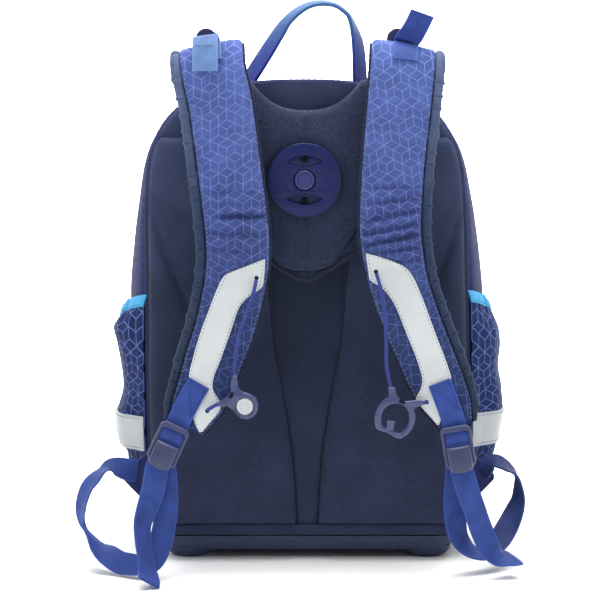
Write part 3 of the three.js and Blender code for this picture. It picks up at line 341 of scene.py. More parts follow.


# %% Dark cloth of the bag
# Knit looks soft and even, and mesh darker in its holes. Both hardly shine.
# The yoke knit is painted lighter towards its neck: painted light, where the pad turns up to the light
# from above.
yoke_knit = knitted(
    "knitted polyester, yoke navy", [(240, "#252d42"), (330, "#283048"), (400, "#2e344d")], 0.6, 1.42,
)
# The panel knit is darker between 170 and 270 mm: painted shade below the yoke.
panel_knit = knitted(
    "knitted polyester, panel navy",
    [(40, "#2b334b"), (170, "#20283b"), (270, "#20283b"), (395, "#394260")], 0.8, 1.22,
)
pad_mesh = air_mesh(
    "spacer mesh, navy", [(50, "#2e354d"), (140, "#262d43"), (236, "#2a334a"), (320, "#38405d")],
)
under_mesh = air_mesh("spacer mesh, strap lining", [(60, "#1f2538"), (350, "#272e42")], 2.4)
print("dark cloth", yoke_knit.name, panel_knit.name, pad_mesh.name)

# %% [markdown]
# Bindings and webbing are narrow weaves. A binding is a soft ribbed tape that puckers where it
# is sewn round a curve, so that its ribs open in some places and close in others. Webbing is
# thicker, with fine ribs and a firm edge. Both take their pattern from the length and
# width of the tape itself, through its UV map in metres.


# %% Bindings, webbing, elastic and cord
def ribbed_tape(name, stops, rib_mm=2.0, roughness=0.8):
    """Ribbed tape, its ribs across the run and stronger in some stretches than in others."""
    made, tree = start_material(name)
    flat = add(tree, "UVMap")
    ribs = add(
        tree, "TexWave", {"Vector": flat, "Scale": pitch(rib_mm), "Distortion": 0.5}, bands_direction="Y",
    )
    pulled = add(tree, "TexNoise", {"Vector": flat, "Scale": per(30)})
    opened = add(tree, "MapRange", {"Value": pulled, "From Min": 0.45, "From Max": 0.6})
    shown = add(tree, "Mix", {0: opened, 2: 0.5, 3: ribs}, data_type="FLOAT")
    cloudy = clouded(tree, graded(tree, stops), flat, 12, 0.82, 1.18)
    close_material(
        tree, toned(tree, cloudy, shown, 0.84, 1.16), shown, 0.22,
        roughness=roughness, specular_ior_level=0.15, sheen_weight=0.05,
    )
    return made


def webbing(name, stops, wide_mm=19.0, shade_run=0.0):
    """Woven polyester webbing: a fine ribbed face, paler at its two edges, its first run in painted
    shade.
    """
    made, tree = start_material(name)
    flat = add(tree, "UVMap")
    split = add(tree, "SeparateXYZ", {0: flat}).outputs
    ribs = add(
        tree, "TexWave", {"Vector": flat, "Scale": pitch(1.3), "Distortion": 0.4}, bands_direction="Y",
    )
    ends = add(tree, "TexWave", {"Vector": flat, "Scale": pitch(1.7)}, bands_direction="X")
    weave = add(tree, "Math", {0: ribs, 1: ends}, operation="MULTIPLY")
    offset = add(tree, "Math", {0: split[0], 1: wide_mm / 2 * MM}, operation="SUBTRACT")
    middle = add(tree, "Math", {0: offset}, operation="ABSOLUTE")
    edge = {"From Min": (wide_mm / 2 - 1.6) * MM, "From Max": (wide_mm / 2 - 0.6) * MM}
    selvage = add(tree, "MapRange", {"Value": middle, **edge})
    # Painted shade: the colour is darker over the first run of the tape, up to the given length.
    shade_span = {"From Min": shade_run * MM, "From Max": (shade_run + 25) * MM}
    along = add(tree, "MapRange", {"Value": split[1], **shade_span})
    cloth = toned(tree, graded(tree, stops), along, 0.55, 1)
    cloudy = clouded(tree, cloth, flat, 14, 0.78, 1.18)
    shown = toned(tree, cloudy, weave, 0.93, 1.07)
    pale = add(tree, "HueSaturation", {"Value": 1.18, "Color": cloth})
    colour = add(tree, "Mix", {0: selvage, 6: shown, 7: pale}, data_type="RGBA")
    height = add(tree, "Math", {0: weave, 1: selvage}, operation="ADD")
    close_material(tree, colour, height, 0.15, roughness=0.65, specular_ior_level=0.2, sheen_weight=0.04)
    return made


# %% Narrow cloth of the bag
# Grosgrain shows fine ribs, webbing a firm weave with paler edges, and cord a soft violet sheen.
binding = ribbed_tape("grosgrain binding, slate", [(120, "#232d40"), (300, "#2b3954"), (400, "#515e7e")])
seam_binding = ribbed_tape(
    "grosgrain binding, violet", [(60, "#232848"), (300, "#2c3060"), (400, "#3c3c78")],
)
dark_binding = ribbed_tape(
    "grosgrain binding, navy", [(100, "#171c2b"), (240, "#1f2536"), (420, "#262d3f")],
)
wing_cloth = ribbed_tape("woven polyester, wing navy", [(40, "#232a50"), (95, "#2b3366")], 1.4)
elastic = ribbed_tape("woven elastic, cyan", [(180, "#3e98cc"), (240, "#47a3d6")], 1.2, 0.6)
BLUE = [(0, "#283e80"), (120, "#2f4588")]
blue_webbing = webbing("woven polyester webbing, royal blue", BLUE, shade_run=-30)
# The right webbing is painted darker over its loop: painted shade, as the loop turns away from the light.
shaded_webbing = webbing("woven polyester webbing, royal blue with a dull loop", BLUE, shade_run=95)
tab_webbing = webbing(
    "woven polyester webbing, deep blue",
    [(100, "#30478f"), (300, "#30478f"), (405, "#40579a"), (431, "#40579a"), (437, "#2b408a")],
    shade_run=-30,
)
# The light webbing is painted darker above 430 mm, where it rolls over the top: painted shade against the
# light it catches there.
light_webbing = webbing(
    "woven polyester webbing, light blue",
    [(400, "#6989bb"), (430, "#6786b8"), (439, "#516c9c")], 20.5, -30,
)
# The handle runs from deep blue at its legs to a lighter blue at the top of its arc: partly painted light
# from above, partly a change of hue.
handle_webbing = webbing(
    "woven polyester webbing, dyed from deep to light blue",
    [(400, "#1c267c"), (430, "#263f88"), (468, "#3a6494")], 22.0, -30,
)
cord_cover = ribbed_tape(
    "braided polyester cord, violet blue", [(130, "#333e86"), (250, "#3a4590")], 1.2, 0.55,
)
print("narrow cloth", binding.name, blue_webbing.name, cord_cover.name)

# %% [markdown]
# The reflective pieces are cloth coated with glass beads, so they look light grey and faintly
# rippled. The hard pieces are moulded plastic: the surface carries the fine grain of a spark
# eroded mould, with a painted highlight along its edges.


# %% Reflective cloth and moulded plastics
def reflective_cloth(name, colour):
    """Glass bead cloth: pale, with a fine sparkle and long shallow ripples."""
    made, tree = start_material(name)
    place = add(tree, "TexCoord").outputs["Object"]
    grain = add(tree, "TexNoise", {"Vector": place, "Scale": per(0.8)})
    swell = add(tree, "TexNoise", {"Vector": place, "Scale": per(16)})
    ripple = add(tree, "Math", {0: grain, 1: 0.08, 2: swell}, operation="MULTIPLY_ADD")
    cloudy = clouded(tree, linear(colour), place, 22, 0.93, 1.03)
    close_material(tree, cloudy, ripple, 0.5, roughness=0.5, specular_ior_level=0.4)
    return made


def moulded(name, colour, roughness, grain_mm=0.6, wear_and_highlight=1.35, **sockets):
    """Moulded plastic with a fine grain, and a painted highlight along its edges."""
    made, tree = start_material(name)
    place = add(tree, "TexCoord").outputs["Object"]
    edge = add(tree, "NewGeometry").outputs["Pointiness"]
    # Painted highlight: the colour is paler along sharp edges.
    highlit_edge = add(tree, "MapRange", {"Value": edge, "From Min": 0.52, "From Max": 0.62})
    pale = add(tree, "HueSaturation", {"Value": wear_and_highlight, "Saturation": 0.8, "Color": linear(colour)})
    cloudy = clouded(tree, linear(colour), place, 12, 0.92, 1.08)
    tone = add(tree, "Mix", {0: highlit_edge, 6: cloudy, 7: pale}, data_type="RGBA")
    grain = add(tree, "TexNoise", {"Vector": place, "Scale": per(grain_mm)})
    settings = {"roughness": roughness, "specular_ior_level": 0.3, **sockets}
    close_material(tree, tone, grain, 0.03, **settings)
    return made


# %% Reflective cloth and plastics of the bag
# Bead cloth is pale grey with a faint sparkle; the bands on the pockets are a darker grey.
bead_cloth = reflective_cloth("glass bead reflective cloth", "#c1c6c7")
band_cloth = reflective_cloth("glass bead reflective cloth, darker grey", "#a8adb1")
# Moulded nylon and acetal have a satin sheen, polyethylene is duller, blackened steel nearly black.
disc_plastic = moulded("moulded nylon, indigo", "#182152", 0.42, specular_ior_level=0.2)
medal_plastic = moulded("moulded nylon, indigo centre", "#2e356d", 0.45)
# Buckles and clips carry a strong painted highlight along their edges.
buckle_plastic = moulded("moulded acetal, slate violet", "#363b5b", 0.4, wear_and_highlight=2.4)
clip_plastic = moulded("moulded nylon, smoky violet", "#393f66", 0.3, wear_and_highlight=2.4, coat_weight=0.3)
button_plastic = moulded("moulded nylon, off white", "#b8bebe", 0.4, wear_and_highlight=1.05)
base_plastic = moulded("moulded polyethylene, navy", "#28324d", 0.5, grain_mm=1.2, wear_and_highlight=1.3)
screw_steel = moulded("blackened steel", "#0c0e11", 0.35, metallic=0.6)
# Holes and slots are shown by a near black piece: painted shade of the opening.
painted_hole_shade = moulded("painted shade of a hole, near black", "#0c1026", 0.9)


# %% Sewing thread
def sewing_thread(name, colour):
    """Twisted sewing thread: two plies that show as slanted ridges."""
    made, tree = start_material(name)
    place = add(tree, "TexCoord").outputs["Object"]
    plies = add(tree, "TexWave", {"Vector": place, "Scale": pitch(0.7)}, bands_direction="DIAGONAL")
    twisted = toned(tree, linear(colour), plies, 0.75, 1.1)
    close_material(tree, twisted, plies, 0.1, roughness=0.65, specular_ior_level=0.2)
    return made


# Thread shows as short raised dashes that catch a little light.
grey_thread = sewing_thread("polyester thread, dark grey", "#5a646a")
slate_thread = sewing_thread("polyester thread, slate", "#6f7a94")
navy_thread = sewing_thread("polyester thread, navy", "#1b2136")
blue_thread = sewing_thread("polyester thread, blue", "#2a3a86")
print("plastics and thread", len(bpy.data.materials), "materials in all")

# %% [markdown]
# A bag like this is photographed in a white cove: the floor runs up behind it in one curve, and
# large soft lights leave no hard shadow. The cove is a plane whose far edge is pulled up and
# rounded with a wide bevel. Sizes and places in the studio are metres.


# %% Selecting by place
def pick(piece, kind, where):
    """Goes to edit mode with only those vertices, edges or faces selected whose middle fits."""
    bpy.context.view_layer.objects.active = piece
    bpy.ops.object.mode_set(mode="EDIT")
    bpy.ops.mesh.select_mode(type=kind)
    bpy.ops.mesh.select_all(action="DESELECT")
    bpy.ops.object.mode_set(mode="OBJECT")
    corners = piece.data.vertices
    parts = {"VERT": corners, "EDGE": piece.data.edges, "FACE": piece.data.polygons}[kind]
    for part in parts:
        ends = [part.co] if kind == "VERT" else [corners[k].co for k in part.vertices]
        part.select = where(sum(ends, Vector()) / len(ends))
    bpy.ops.object.mode_set(mode="EDIT")


# %% Floor and light
FLOOR_WIDE = 12.0
COVE_ROUND = 2.5
bpy.ops.mesh.primitive_plane_add(size=FLOOR_WIDE, location=(0, 0, 0))
cove = bpy.context.object
cove.name = "studio_cove"
pick(cove, "EDGE", lambda middle: middle.y > FLOOR_WIDE / 2 - 0.1)
bpy.ops.mesh.extrude_region_move(TRANSFORM_OT_translate={"value": (0, 0, FLOOR_WIDE / 2)})
pick(cove, "EDGE", lambda middle: middle.y > FLOOR_WIDE / 2 - 0.1 and abs(middle.z) < 0.01)
bpy.ops.mesh.bevel(offset=COVE_ROUND, segments=24, affect="EDGES")
bpy.ops.object.mode_set(mode="OBJECT")
bpy.ops.object.shade_smooth()
paint, tree = start_material("matt white studio paint")
roller = add(tree, "TexNoise", {"Vector": add(tree, "TexCoord").outputs["Object"], "Scale": per(400)})
white = toned(tree, linear("#f7f7f7"), roller, 0.99, 1.0)
close_material(tree, white, roughness=0.95, specular_ior_level=0.1)
cove.data.materials.append(paint)

studio = bpy.data.worlds.new("soft grey room")
bpy.context.scene.world = studio
studio.use_nodes = True
studio.node_tree.nodes["Background"].inputs["Color"].default_value = (1, 1, 1, 1)
studio.node_tree.nodes["Background"].inputs["Strength"].default_value = 0.25
SOFT_BOXES = [
    ("key_light", (-1.2, -1.9, 2.2), (0, 0, 0.25), 1.5, 22),
    ("fill_light", (1.7, -2.1, 1.2), (0, 0, 0.25), 1.6, 9),
    ("top_light", (0.2, 0.2, 2.4), (0, 0, 0.2), 1.8, 20),
    ("cove_light", (0, 2.2, 3.2), (0, 6, 1.6), 3.0, 900),
    ("floor_light", (0, 0.6, 3.6), (0, 2.4, 0), 3.0, 260),
]
for name, place, aim, wide, power in SOFT_BOXES:
    turn = (Vector(aim) - Vector(place)).to_track_quat("-Z", "Y").to_euler()
    bpy.ops.object.light_add(type="AREA", location=place, rotation=turn)
    bpy.context.object.name = name
    bpy.context.object.data.size = wide
    bpy.context.object.data.energy = power
bpy.context.scene.view_settings.view_transform = "Standard"
print("studio", len(cove.data.polygons), "cove faces,", len(SOFT_BOXES), "soft boxes")

# %% [markdown]
# Two thin chest cords hang on the straps. Each leaves the upper hole of a reflective piece,
# sags down to its clip, runs through the clip's two arms and goes into the lower hole. A curve
# with a round bevel is the plain way to make a cord, and its own line is then also its measure.


# %% A smooth line through points
def curve_through(points, steps=24):
    """One smooth line through points, bent less where they lie far apart."""
    p = [Vector(q) for q in points]
    p = [2 * p[0] - p[1], *p, 2 * p[-1] - p[-2]]
    line = []
    for a, b, c, d in zip(p, p[1:], p[2:], p[3:]):
        near, span, far = ((a - b).length ** 0.5, (b - c).length ** 0.5, (c - d).length ** 0.5)
        leave = ((b - a) / near - (c - a) / (near + span) + (c - b) / span) * span
        reach = ((c - b) / span - (d - b) / (span + far) + (d - c) / far) * span
        for n in range(steps):
            t = n / steps
            bend = (3 * (c - b) - 2 * leave - reach) * t * t + (2 * (b - c) + leave + reach) * t ** 3
            line.append(b + leave * t + bend)
    return [*line, p[-2]]


# %% Chest cords
CORD_RADIUS = 1.5
CORDS = {
    "left": [
        (-42.8, -71, 242), (-45, -75, 232), (-51.7, -79.5, 212.2), (-56.6, -83, 197.7), (-60, -86.8, 174),
        (-60.2, -88, 165), (-60.4, -88, 157.5), (-62.6, -88, 149.6), (-67.4, -88, 145.2),
        (-73, -88, 143.4), (-79, -87.4, 140.2), (-82.8, -86, 137.6),
    ],
    "right": [
        (54.9, -71, 247.6), (58, -75, 236.5), (61.6, -80, 217.1), (62.4, -83.5, 198.6), (63, -87.4, 173),
        (66.2, -89, 156), (67.8, -89, 149.6), (71.8, -89, 145.4), (78, -89, 143.8), (86, -89, 144.2),
        (92.6, -88.6, 144.4), (96.4, -87, 144.4),
    ],
}


def chest_cord(side):
    """A thin braided cord as one curve, measured along its own line."""
    line = [at(*spot) for spot in curve_through(CORDS[side], 6)]
    bpy.ops.curve.primitive_bezier_curve_add()
    made = bpy.context.object
    made.name = "braided_cord_" + side
    made.location = (0, 0, 0)
    made.data.splines.clear()
    run = made.data.splines.new("POLY")
    run.points.add(len(line) - 1)
    for point, spot in zip(run.points, line):
        point.co = (*spot, 1)
    made.data.bevel_depth = CORD_RADIUS * MM
    made.data.bevel_resolution = 3
    made.data.use_fill_caps = True
    made.data.materials.append(cord_cover)
    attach(made, "root")
    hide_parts("chest_cord_" + side)
    long = sum((b - a).length for a, b in zip(line, line[1:]))
    print(made.name, round(long, 4), "m long")


for side in CORDS:
    chest_cord(side)

# %% [markdown]
# Most of the bag is cloth cut flat and bent over a form. A grid stands for the flat cloth: its
# columns and rows are moved to their places by a function of the piece, its UV map keeps the
# flat measure in metres, and a Solidify modifier gives it the thickness of the cloth.


# %% Cloth, its thickness and its dressing
def cloth_grid(name, columns, rows, place, cut=None, flip=False):
    """A grid moved to place(u, v); cut(u, v) gives its flat measure in millimetres."""
    bpy.ops.mesh.primitive_grid_add(x_subdivisions=columns, y_subdivisions=rows, size=1)
    made = bpy.context.object
    made.name = made.data.name = name
    flat = [(round(v.co.x + 0.5, 6), round(v.co.y + 0.5, 6)) for v in made.data.vertices]
    for vertex, (u, v) in zip(made.data.vertices, flat):
        vertex.co = place(u, v)
    if cut is None:
        lines = [[place(k / 40, 0.5) for k in range(41)], [place(0.5, k / 40) for k in range(41)]]
        wide, long = (sum((b - a).length for a, b in zip(line, line[1:])) / MM for line in lines)

        def cut(u, v):
            return u * wide, v * long

    for loop, spot in zip(made.data.loops, made.data.uv_layers.active.data):
        x, y = cut(*flat[loop.vertex_index])
        spot.uv = (x * MM, y * MM)
    if flip:
        bpy.ops.object.mode_set(mode="EDIT")
        bpy.ops.mesh.flip_normals()
        bpy.ops.object.mode_set(mode="OBJECT")
    return made


def alone(piece):
    """Makes a piece the only selected one and the active one."""
    bpy.ops.object.select_all(action="DESELECT")
    piece.select_set(True)
    bpy.context.view_layer.objects.active = piece


def linked(name, data):
    """A new object for a mesh or a curve, selected alone."""
    made = bpy.data.objects.new(name, data)
    bpy.context.scene.collection.objects.link(made)
    alone(made)
    return made


def shaped(piece, kind, **settings):
    """Adds a modifier with its settings and applies it."""
    alone(piece)
    step = piece.modifiers.new(kind.lower(), kind)
    for key, value in settings.items():
        setattr(step, key, value)
    bpy.ops.object.modifier_apply(modifier=step.name)
    return piece


def thickened(piece, thick, offset=-1):
    """Gives a sheet its thickness in millimetres, inwards or to both sides of its middle (0)."""
    return shaped(piece, "SOLIDIFY", thickness=thick * MM, offset=offset)


def closed_round(piece):
    """Merges the two edges of a rolled grid and fills the open ends."""
    bpy.context.view_layer.objects.active = piece
    bpy.ops.object.mode_set(mode="EDIT")
    bpy.ops.mesh.select_all(action="SELECT")
    bpy.ops.mesh.remove_doubles(threshold=1e-6)
    bpy.ops.mesh.fill_holes(sides=0)
    bpy.ops.mesh.normals_make_consistent(inside=False)
    bpy.ops.object.mode_set(mode="OBJECT")
    return piece


def dressed(piece, material, slot, *nodes, angle=45):
    """Gives a finished piece its material, its smooth shading and its place in the frame."""
    if material:
        piece.data.materials.clear()
        piece.data.materials.append(material)
    alone(piece)
    bpy.ops.object.shade_smooth_by_angle(angle=math.radians(angle))
    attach(piece, "root")
    if nodes:
        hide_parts(*nodes)
    print(piece.name, len(piece.data.polygons), "faces")
    return piece


def wavy(place, size, depth):
    """Soft unevenness of cloth: a height in millimetres from smooth noise of that size."""
    return depth * noise.noise(Vector(place) / (size * MM))


# %% [markdown]
# The wall of the bag is one strip of printed cloth that runs up one side, over the top and down
# the other. Its back edge follows the outline of the panel, and it swells between the two seams
# because the bag is filled. The front is closed by a slightly crowned panel.

# %% Outline and form of the bag
OUTLINE = [
    (125, 20), (133, 58), (136, 136), (135, 240), (133.8, 303), (130, 340), (122.6, 359), (109.6, 377.7),
    (88, 391.5), (60, 400), (30, 403.6),
]
RIM_TOP = 404.4
BASE_TOP = OUTLINE[0][1]
TOP_LEAN = -4.5
BODY_Z = [20, 110, 220, 290, 340, 405]
BODY_DEEP = [156, 176, 178, 168, 152, 128]
BODY_SWELL = [5, 15, 20.5, 14.5, 8, 5.5]
TOP_SLOPE, SLOPE_FROM = 0.15, 230
FRONT_INSET = 8
FRONT_CROWN = 14
WALL_DEEP = 165
CLOTH = 2.2
right_edge = [(h, z, 0) for h, z in OUTLINE]
left_edge = [(-h, z, 0) for h, z in reversed(OUTLINE)]
EDGE = np.array(curve_through([*right_edge, (0, RIM_TOP, 0), *left_edge]))[:, :2]
EDGE_RUN = length_run(EDGE)
EDGE_LONG = EDGE_RUN[-1]
TOP_ROW = int(np.argmax(EDGE[:, 1]))


def edge_place(t):
    """Place on the edge line, from the right foot (0) over the top to the left foot (1)."""
    return np.array([np.interp(t * EDGE_LONG, EDGE_RUN, EDGE[:, k]) for k in (0, 1)])


def edge_share(z):
    """Where the edge line reaches a height on the right side."""
    return np.interp(z, EDGE[:TOP_ROW, 1], EDGE_RUN[:TOP_ROW]) / EDGE_LONG


def leaning(z):
    return TOP_LEAN * ((z - BASE_TOP) / (RIM_TOP - BASE_TOP)) ** 2


def wall_spot(t, s, lift=0.0):
    """Place on the wall: t along the edge line, s from the wearer's side to the front."""
    t = clamp(t)
    x, z = edge_place(t)
    run = edge_place(min(t + 0.004, 1)) - edge_place(max(t - 0.004, 0))
    run /= np.linalg.norm(run)
    level = clamp(z, BODY_Z[0], BODY_Z[-1])
    out = smooth(BODY_Z, BODY_SWELL, level) * math.sin(math.pi * s) ** 0.6 - FRONT_INSET * s * s + lift
    deep = smooth(BODY_Z, BODY_DEEP, level) * s
    drop = TOP_SLOPE * deep * clamp((z - SLOPE_FROM) / (RIM_TOP - SLOPE_FROM)) ** 1.5
    return x + run[1] * out + leaning(z), deep, max(z - run[0] * out - drop, BASE_TOP)


def wall_place(u, v):
    spot = wall_spot(1 - u, v)
    crumple = wavy(at(*spot), 45, 1.6) * math.sin(math.pi * v)
    return at(*wall_spot(1 - u, v, crumple))


# %% Bag wall
wall = cloth_grid("bag_wall", 150, 34, wall_place, lambda u, v: (v * WALL_DEEP, -u * EDGE_LONG))
thickened(wall, CLOTH)
dressed(wall, wall_print, "printed_cloth", "side_shell")


# %% Bag front
def front_place(u, v):
    right, left = (Vector(wall_spot(t, 1)) for t in (v / 2, 1 - v / 2))
    c = 2 * u - 1
    rise = (0.35 + 0.65 * math.sin(math.pi * v)) * (1 - v ** 6)
    spot = left.lerp(right, 1 - u)
    spot.y += GAP + CLOTH + FRONT_CROWN * (1 - c * c) * rise
    spot.y += wavy(at(*spot), 55, 1.5) * (1 - c * c) * (1 - v ** 4)
    return at(*spot)


front = cloth_grid("bag_front", 60, 70, front_place)
thickened(front, CLOTH)
dressed(front, wall_print, "printed_cloth", "front_panel")

# %% [markdown]
# The panel on the wearer's side is a board of foam under smooth navy knit. Violet binding covers
# the seam between it and the wall. The seam is a thin tube along the edge line, puckered by the
# needle every few millimetres.

# %% Back board
PANEL, BOARD_EDGE, BOARD_CLOTH = 8, 4.5, 3


def board_place(u, v):
    right, left = (Vector(wall_spot(t, 0)) for t in (v / 2, 1 - v / 2))
    c = 2 * u - 1
    spot = left.lerp(right, u)
    spot.y = -GAP - PANEL + BOARD_EDGE * max(abs(c) ** 40, v ** 60, (1 - v) ** 60)
    spot.y += wavy((*spot.xz * MM, 3), 60, 0.5)
    return at(*spot)


board = cloth_grid("back_board", 110, 130, board_place)
thickened(board, BOARD_CLOTH)
dressed(board, panel_knit, "navy_cloth", "back_panel")


# %% Bound seam
def roll_place(points, radius, pucker=0.0, every=4.0):
    """Place on a tube round a line of points in millimetres: u round it, v along it."""
    line = np.array([tuple(point) for point in points])
    run = length_run(points)
    ahead = np.gradient(line, axis=0)

    def place(u, v):
        here, way = (
            Vector([np.interp(v * run[-1], run, data[:, k]) for k in range(3)])
            for data in (line, ahead)
        )
        way.normalize()
        side = way.cross(Vector((0, 1, 0))).normalized()
        turn = 2 * math.pi * u
        wide = radius + pucker * math.sin(2 * math.pi * v * run[-1] / every)
        return at(*(here + wide * (math.cos(turn) * side + math.sin(turn) * way.cross(side))))

    return place


def rolled(name, sides, steps, roll, material, slot, angle=45):
    """A closed tube of tape: its line, radius, pucker and the length of one pucker."""
    tube = closed_round(cloth_grid(name, sides, steps, roll_place(*roll)))
    return dressed(tube, material, slot, angle=angle)


seam_line = [Vector(wall_spot(k / 240, 0.0)) + Vector((0, -1.2, 0)) for k in range(241)]
rolled("bound_seam", 10, 480, (seam_line, 1.4, 0.15, 5.0), seam_binding, "navy_cloth")

# %% [markdown]
# The two cushions are foam under spacer mesh. Real ones look blown up because the mesh is sewn
# down at its border and pushed out by the foam. Blender's Cloth with a little pressure does the
# same: each cushion is a front and a back sewn together, its border and its slanted seam are
# pinned, and pressure blows it up between them.


# %% Cushions blown up by pressure
def pillow(name, columns, rows, face, behind):
    """Closed pad from two grids that share their border."""
    front = cloth_grid(name, columns, rows, face)
    back = cloth_grid(name + "_back", columns, rows, behind, flip=True)
    alone(front)
    back.select_set(True)
    bpy.ops.object.join()
    return closed_round(front)


def puffed(piece, sewn, cap_mm):
    """Blows a closed pad up as cloth with its sewn vertices pinned, and limits how far it moves."""
    start = [v.co.copy() for v in piece.data.vertices]
    pins = piece.vertex_groups.new(name="sewn")
    pins.add([v.index for v in piece.data.vertices if sewn(v.co)], 1.0, "REPLACE")
    cloth = piece.modifiers.new("cloth", "CLOTH")
    cloth.settings.vertex_group_mass = "sewn"
    cloth.settings.quality = 6
    cloth.settings.mass = 0.3
    cloth.settings.tension_stiffness = 25
    cloth.settings.compression_stiffness = 25
    cloth.settings.bending_stiffness = 1.0
    cloth.settings.use_pressure = True
    cloth.settings.uniform_pressure_force = 4
    cloth.settings.effector_weights.gravity = 0
    for step in range(1, 21):
        bpy.context.scene.frame_set(step)
    bpy.ops.object.modifier_apply(modifier="cloth")
    bpy.context.scene.frame_set(1)
    moves = [v.co - old for v, old in zip(piece.data.vertices, start)]
    for vertex, old, move in zip(piece.data.vertices, start, moves):
        vertex.co = old + move * min(1, cap_mm * MM / max(move.length, 1e-9))
    print(piece.name, "blown up by", round(max(move.length for move in moves) / MM, 2), "mm at most")


def near_line(spot, line):
    """Distance in millimetres from a place to a line of points, and the side of it (-1 or 1)."""
    best, side = 1e9, 1
    for (ax, az), (bx, bz) in zip(line, line[1:]):
        dx, dz = bx - ax, bz - az
        k = clamp(((spot[0] - ax) * dx + (spot[1] - az) * dz) / (dx * dx + dz * dz))
        away = math.hypot(spot[0] - ax - k * dx, spot[1] - az - k * dz)
        if away < best:
            best, side = away, math.copysign(1, (spot[0] - ax) * dz - (spot[1] - az) * dx)
    return best, side


# %% Form of the cushions
PAD_LOW, PAD_TOP, PAD_BACK, PAD_HIGH, PAD_ROUND, PAD_MARGIN = 30.5, 357, -PANEL - 0.8, 10.5, 15, 2.4
SEAM_DENT, SEAM_REACH, STEP_DOWN, STEP_REACH, STEP_FROM = 0.42, 4, 0.3, 9, 170
CHANNEL_Z = [29, 72, 109, 147, 187, 237, 300, 358]
CHANNEL_HALF = [8.6, 10.9, 15, 21.3, 28, 32, 38, 44]
CUSHION_SEAM = [
    (137, 308), (134, 303), (125.3, 286), (118, 262), (111.8, 245), (104, 226), (96, 200), (92, 178),
]


def cushion_place(turn, raised):
    """Place on a cushion: u from the wall seam to the channel, v from its foot to its top seam."""
    def place(u, v):
        z = PAD_LOW + (PAD_TOP - PAD_LOW) * v
        outer = edge_place(edge_share(z))[0] - PAD_MARGIN
        inner = smooth(CHANNEL_Z, CHANNEL_HALF, z)
        x = outer + (inner - outer) * u
        edge = min(u * (outer - inner), (1 - u) * (outer - inner), z - PAD_LOW, PAD_TOP - z)
        high = PAD_HIGH * math.sqrt(1 - (1 - clamp(edge / PAD_ROUND)) ** 2) * raised
        gap, side = near_line((x, z), CUSHION_SEAM)
        low_side = clamp(gap / STEP_REACH) if side > 0 else 0
        dent = SEAM_DENT * math.exp(-((gap / SEAM_REACH) ** 2))
        high *= 1 - dent - STEP_DOWN * low_side * clamp((z - STEP_FROM) / 40)
        spot = at(turn * x + leaning(z) * (1 - u) - u, PAD_BACK - high, z)
        spot.y += wavy(spot, 30, 0.5) * MM * clamp(edge / PAD_ROUND) * raised
        return spot

    return place


# %% Both cushions
SIDES = {"left": -1, "right": 1}
for side, turn in SIDES.items():
    cushion = pillow("mesh_cushion_" + side, 56, 130, cushion_place(turn, 1), cushion_place(turn, 0))
    rest = at(0, PAD_BACK - 0.3, 0).y
    seam_x = [(turn * x, z) for x, z in CUSHION_SEAM]

    def sewn(co):
        return co.y > rest or near_line(((co.x - MIDDLE_X) / MM, co.z / MM), seam_x)[0] < 2

    puffed(cushion, sewn, 2.5)
    dressed(cushion, pad_mesh, "mesh_cloth", "back_pad_" + side, angle=70)
    # A thin dark tube lies on the seam along each channel edge: the seam is real, its darkness is painted
    # shade of the crease where cushion meets channel.
    heights = np.linspace(PAD_LOW + 2, 300, 80)
    crease = [Vector((turn * smooth(CHANNEL_Z, CHANNEL_HALF, z) - 1, PAD_BACK - 0.7, z)) for z in heights]
    rolled("channel_crease_shade_" + side, 8, 160, (crease, 1.0), dark_binding, "navy_cloth")

# %% [markdown]
# The yoke is a smooth pad that carries both straps and slides on the back board. It is a closed
# form: a crowned front and a flat back that meet at one sewn edge. A dark binding runs round
# its pointed foot.

# %% Form of the yoke
YOKE_SHIFT, YOKE_BACK, YOKE_RIM, YOKE_SWELL = -2.5, -21.4, 5, 7
YOKE_LOW, YOKE_NECK, YOKE_WING, YOKE_WIDE = 236, 380, 405, 103
SCOOP_HALF, SHOULDER_FROM, SHOULDER_FALL, CROWN_ROUND = 46, 53, 0.16, 15
CREASE_DEEP, CREASE_WIDE, GROOVE_DEEP, GROOVE_WIDE = 1.7, 2.2, 1.6, 1.5
FOOT_HALF, FOOT_RISE, FOOT_ROUND, FOOT_BAND = 56, 0.66, 6, 7
CROWN_FAR = [0, 10, 19, 26, 33, 39, 43, 60, 112]
CROWN_FOOT = [246.9, 247.6, 250.2, 255.5, 265.5, 276, 281.5, 298, 330]
YOKE_V = [0, 0.35, 0.7, 1]
YOKE_HALF = [FOOT_HALF, 76, 95, YOKE_WIDE]


def foot_edge(u):
    """Height of the foot of the yoke, a blunt point."""
    return YOKE_LOW + FOOT_RISE * (math.hypot(u * FOOT_HALF, FOOT_ROUND) - FOOT_ROUND)


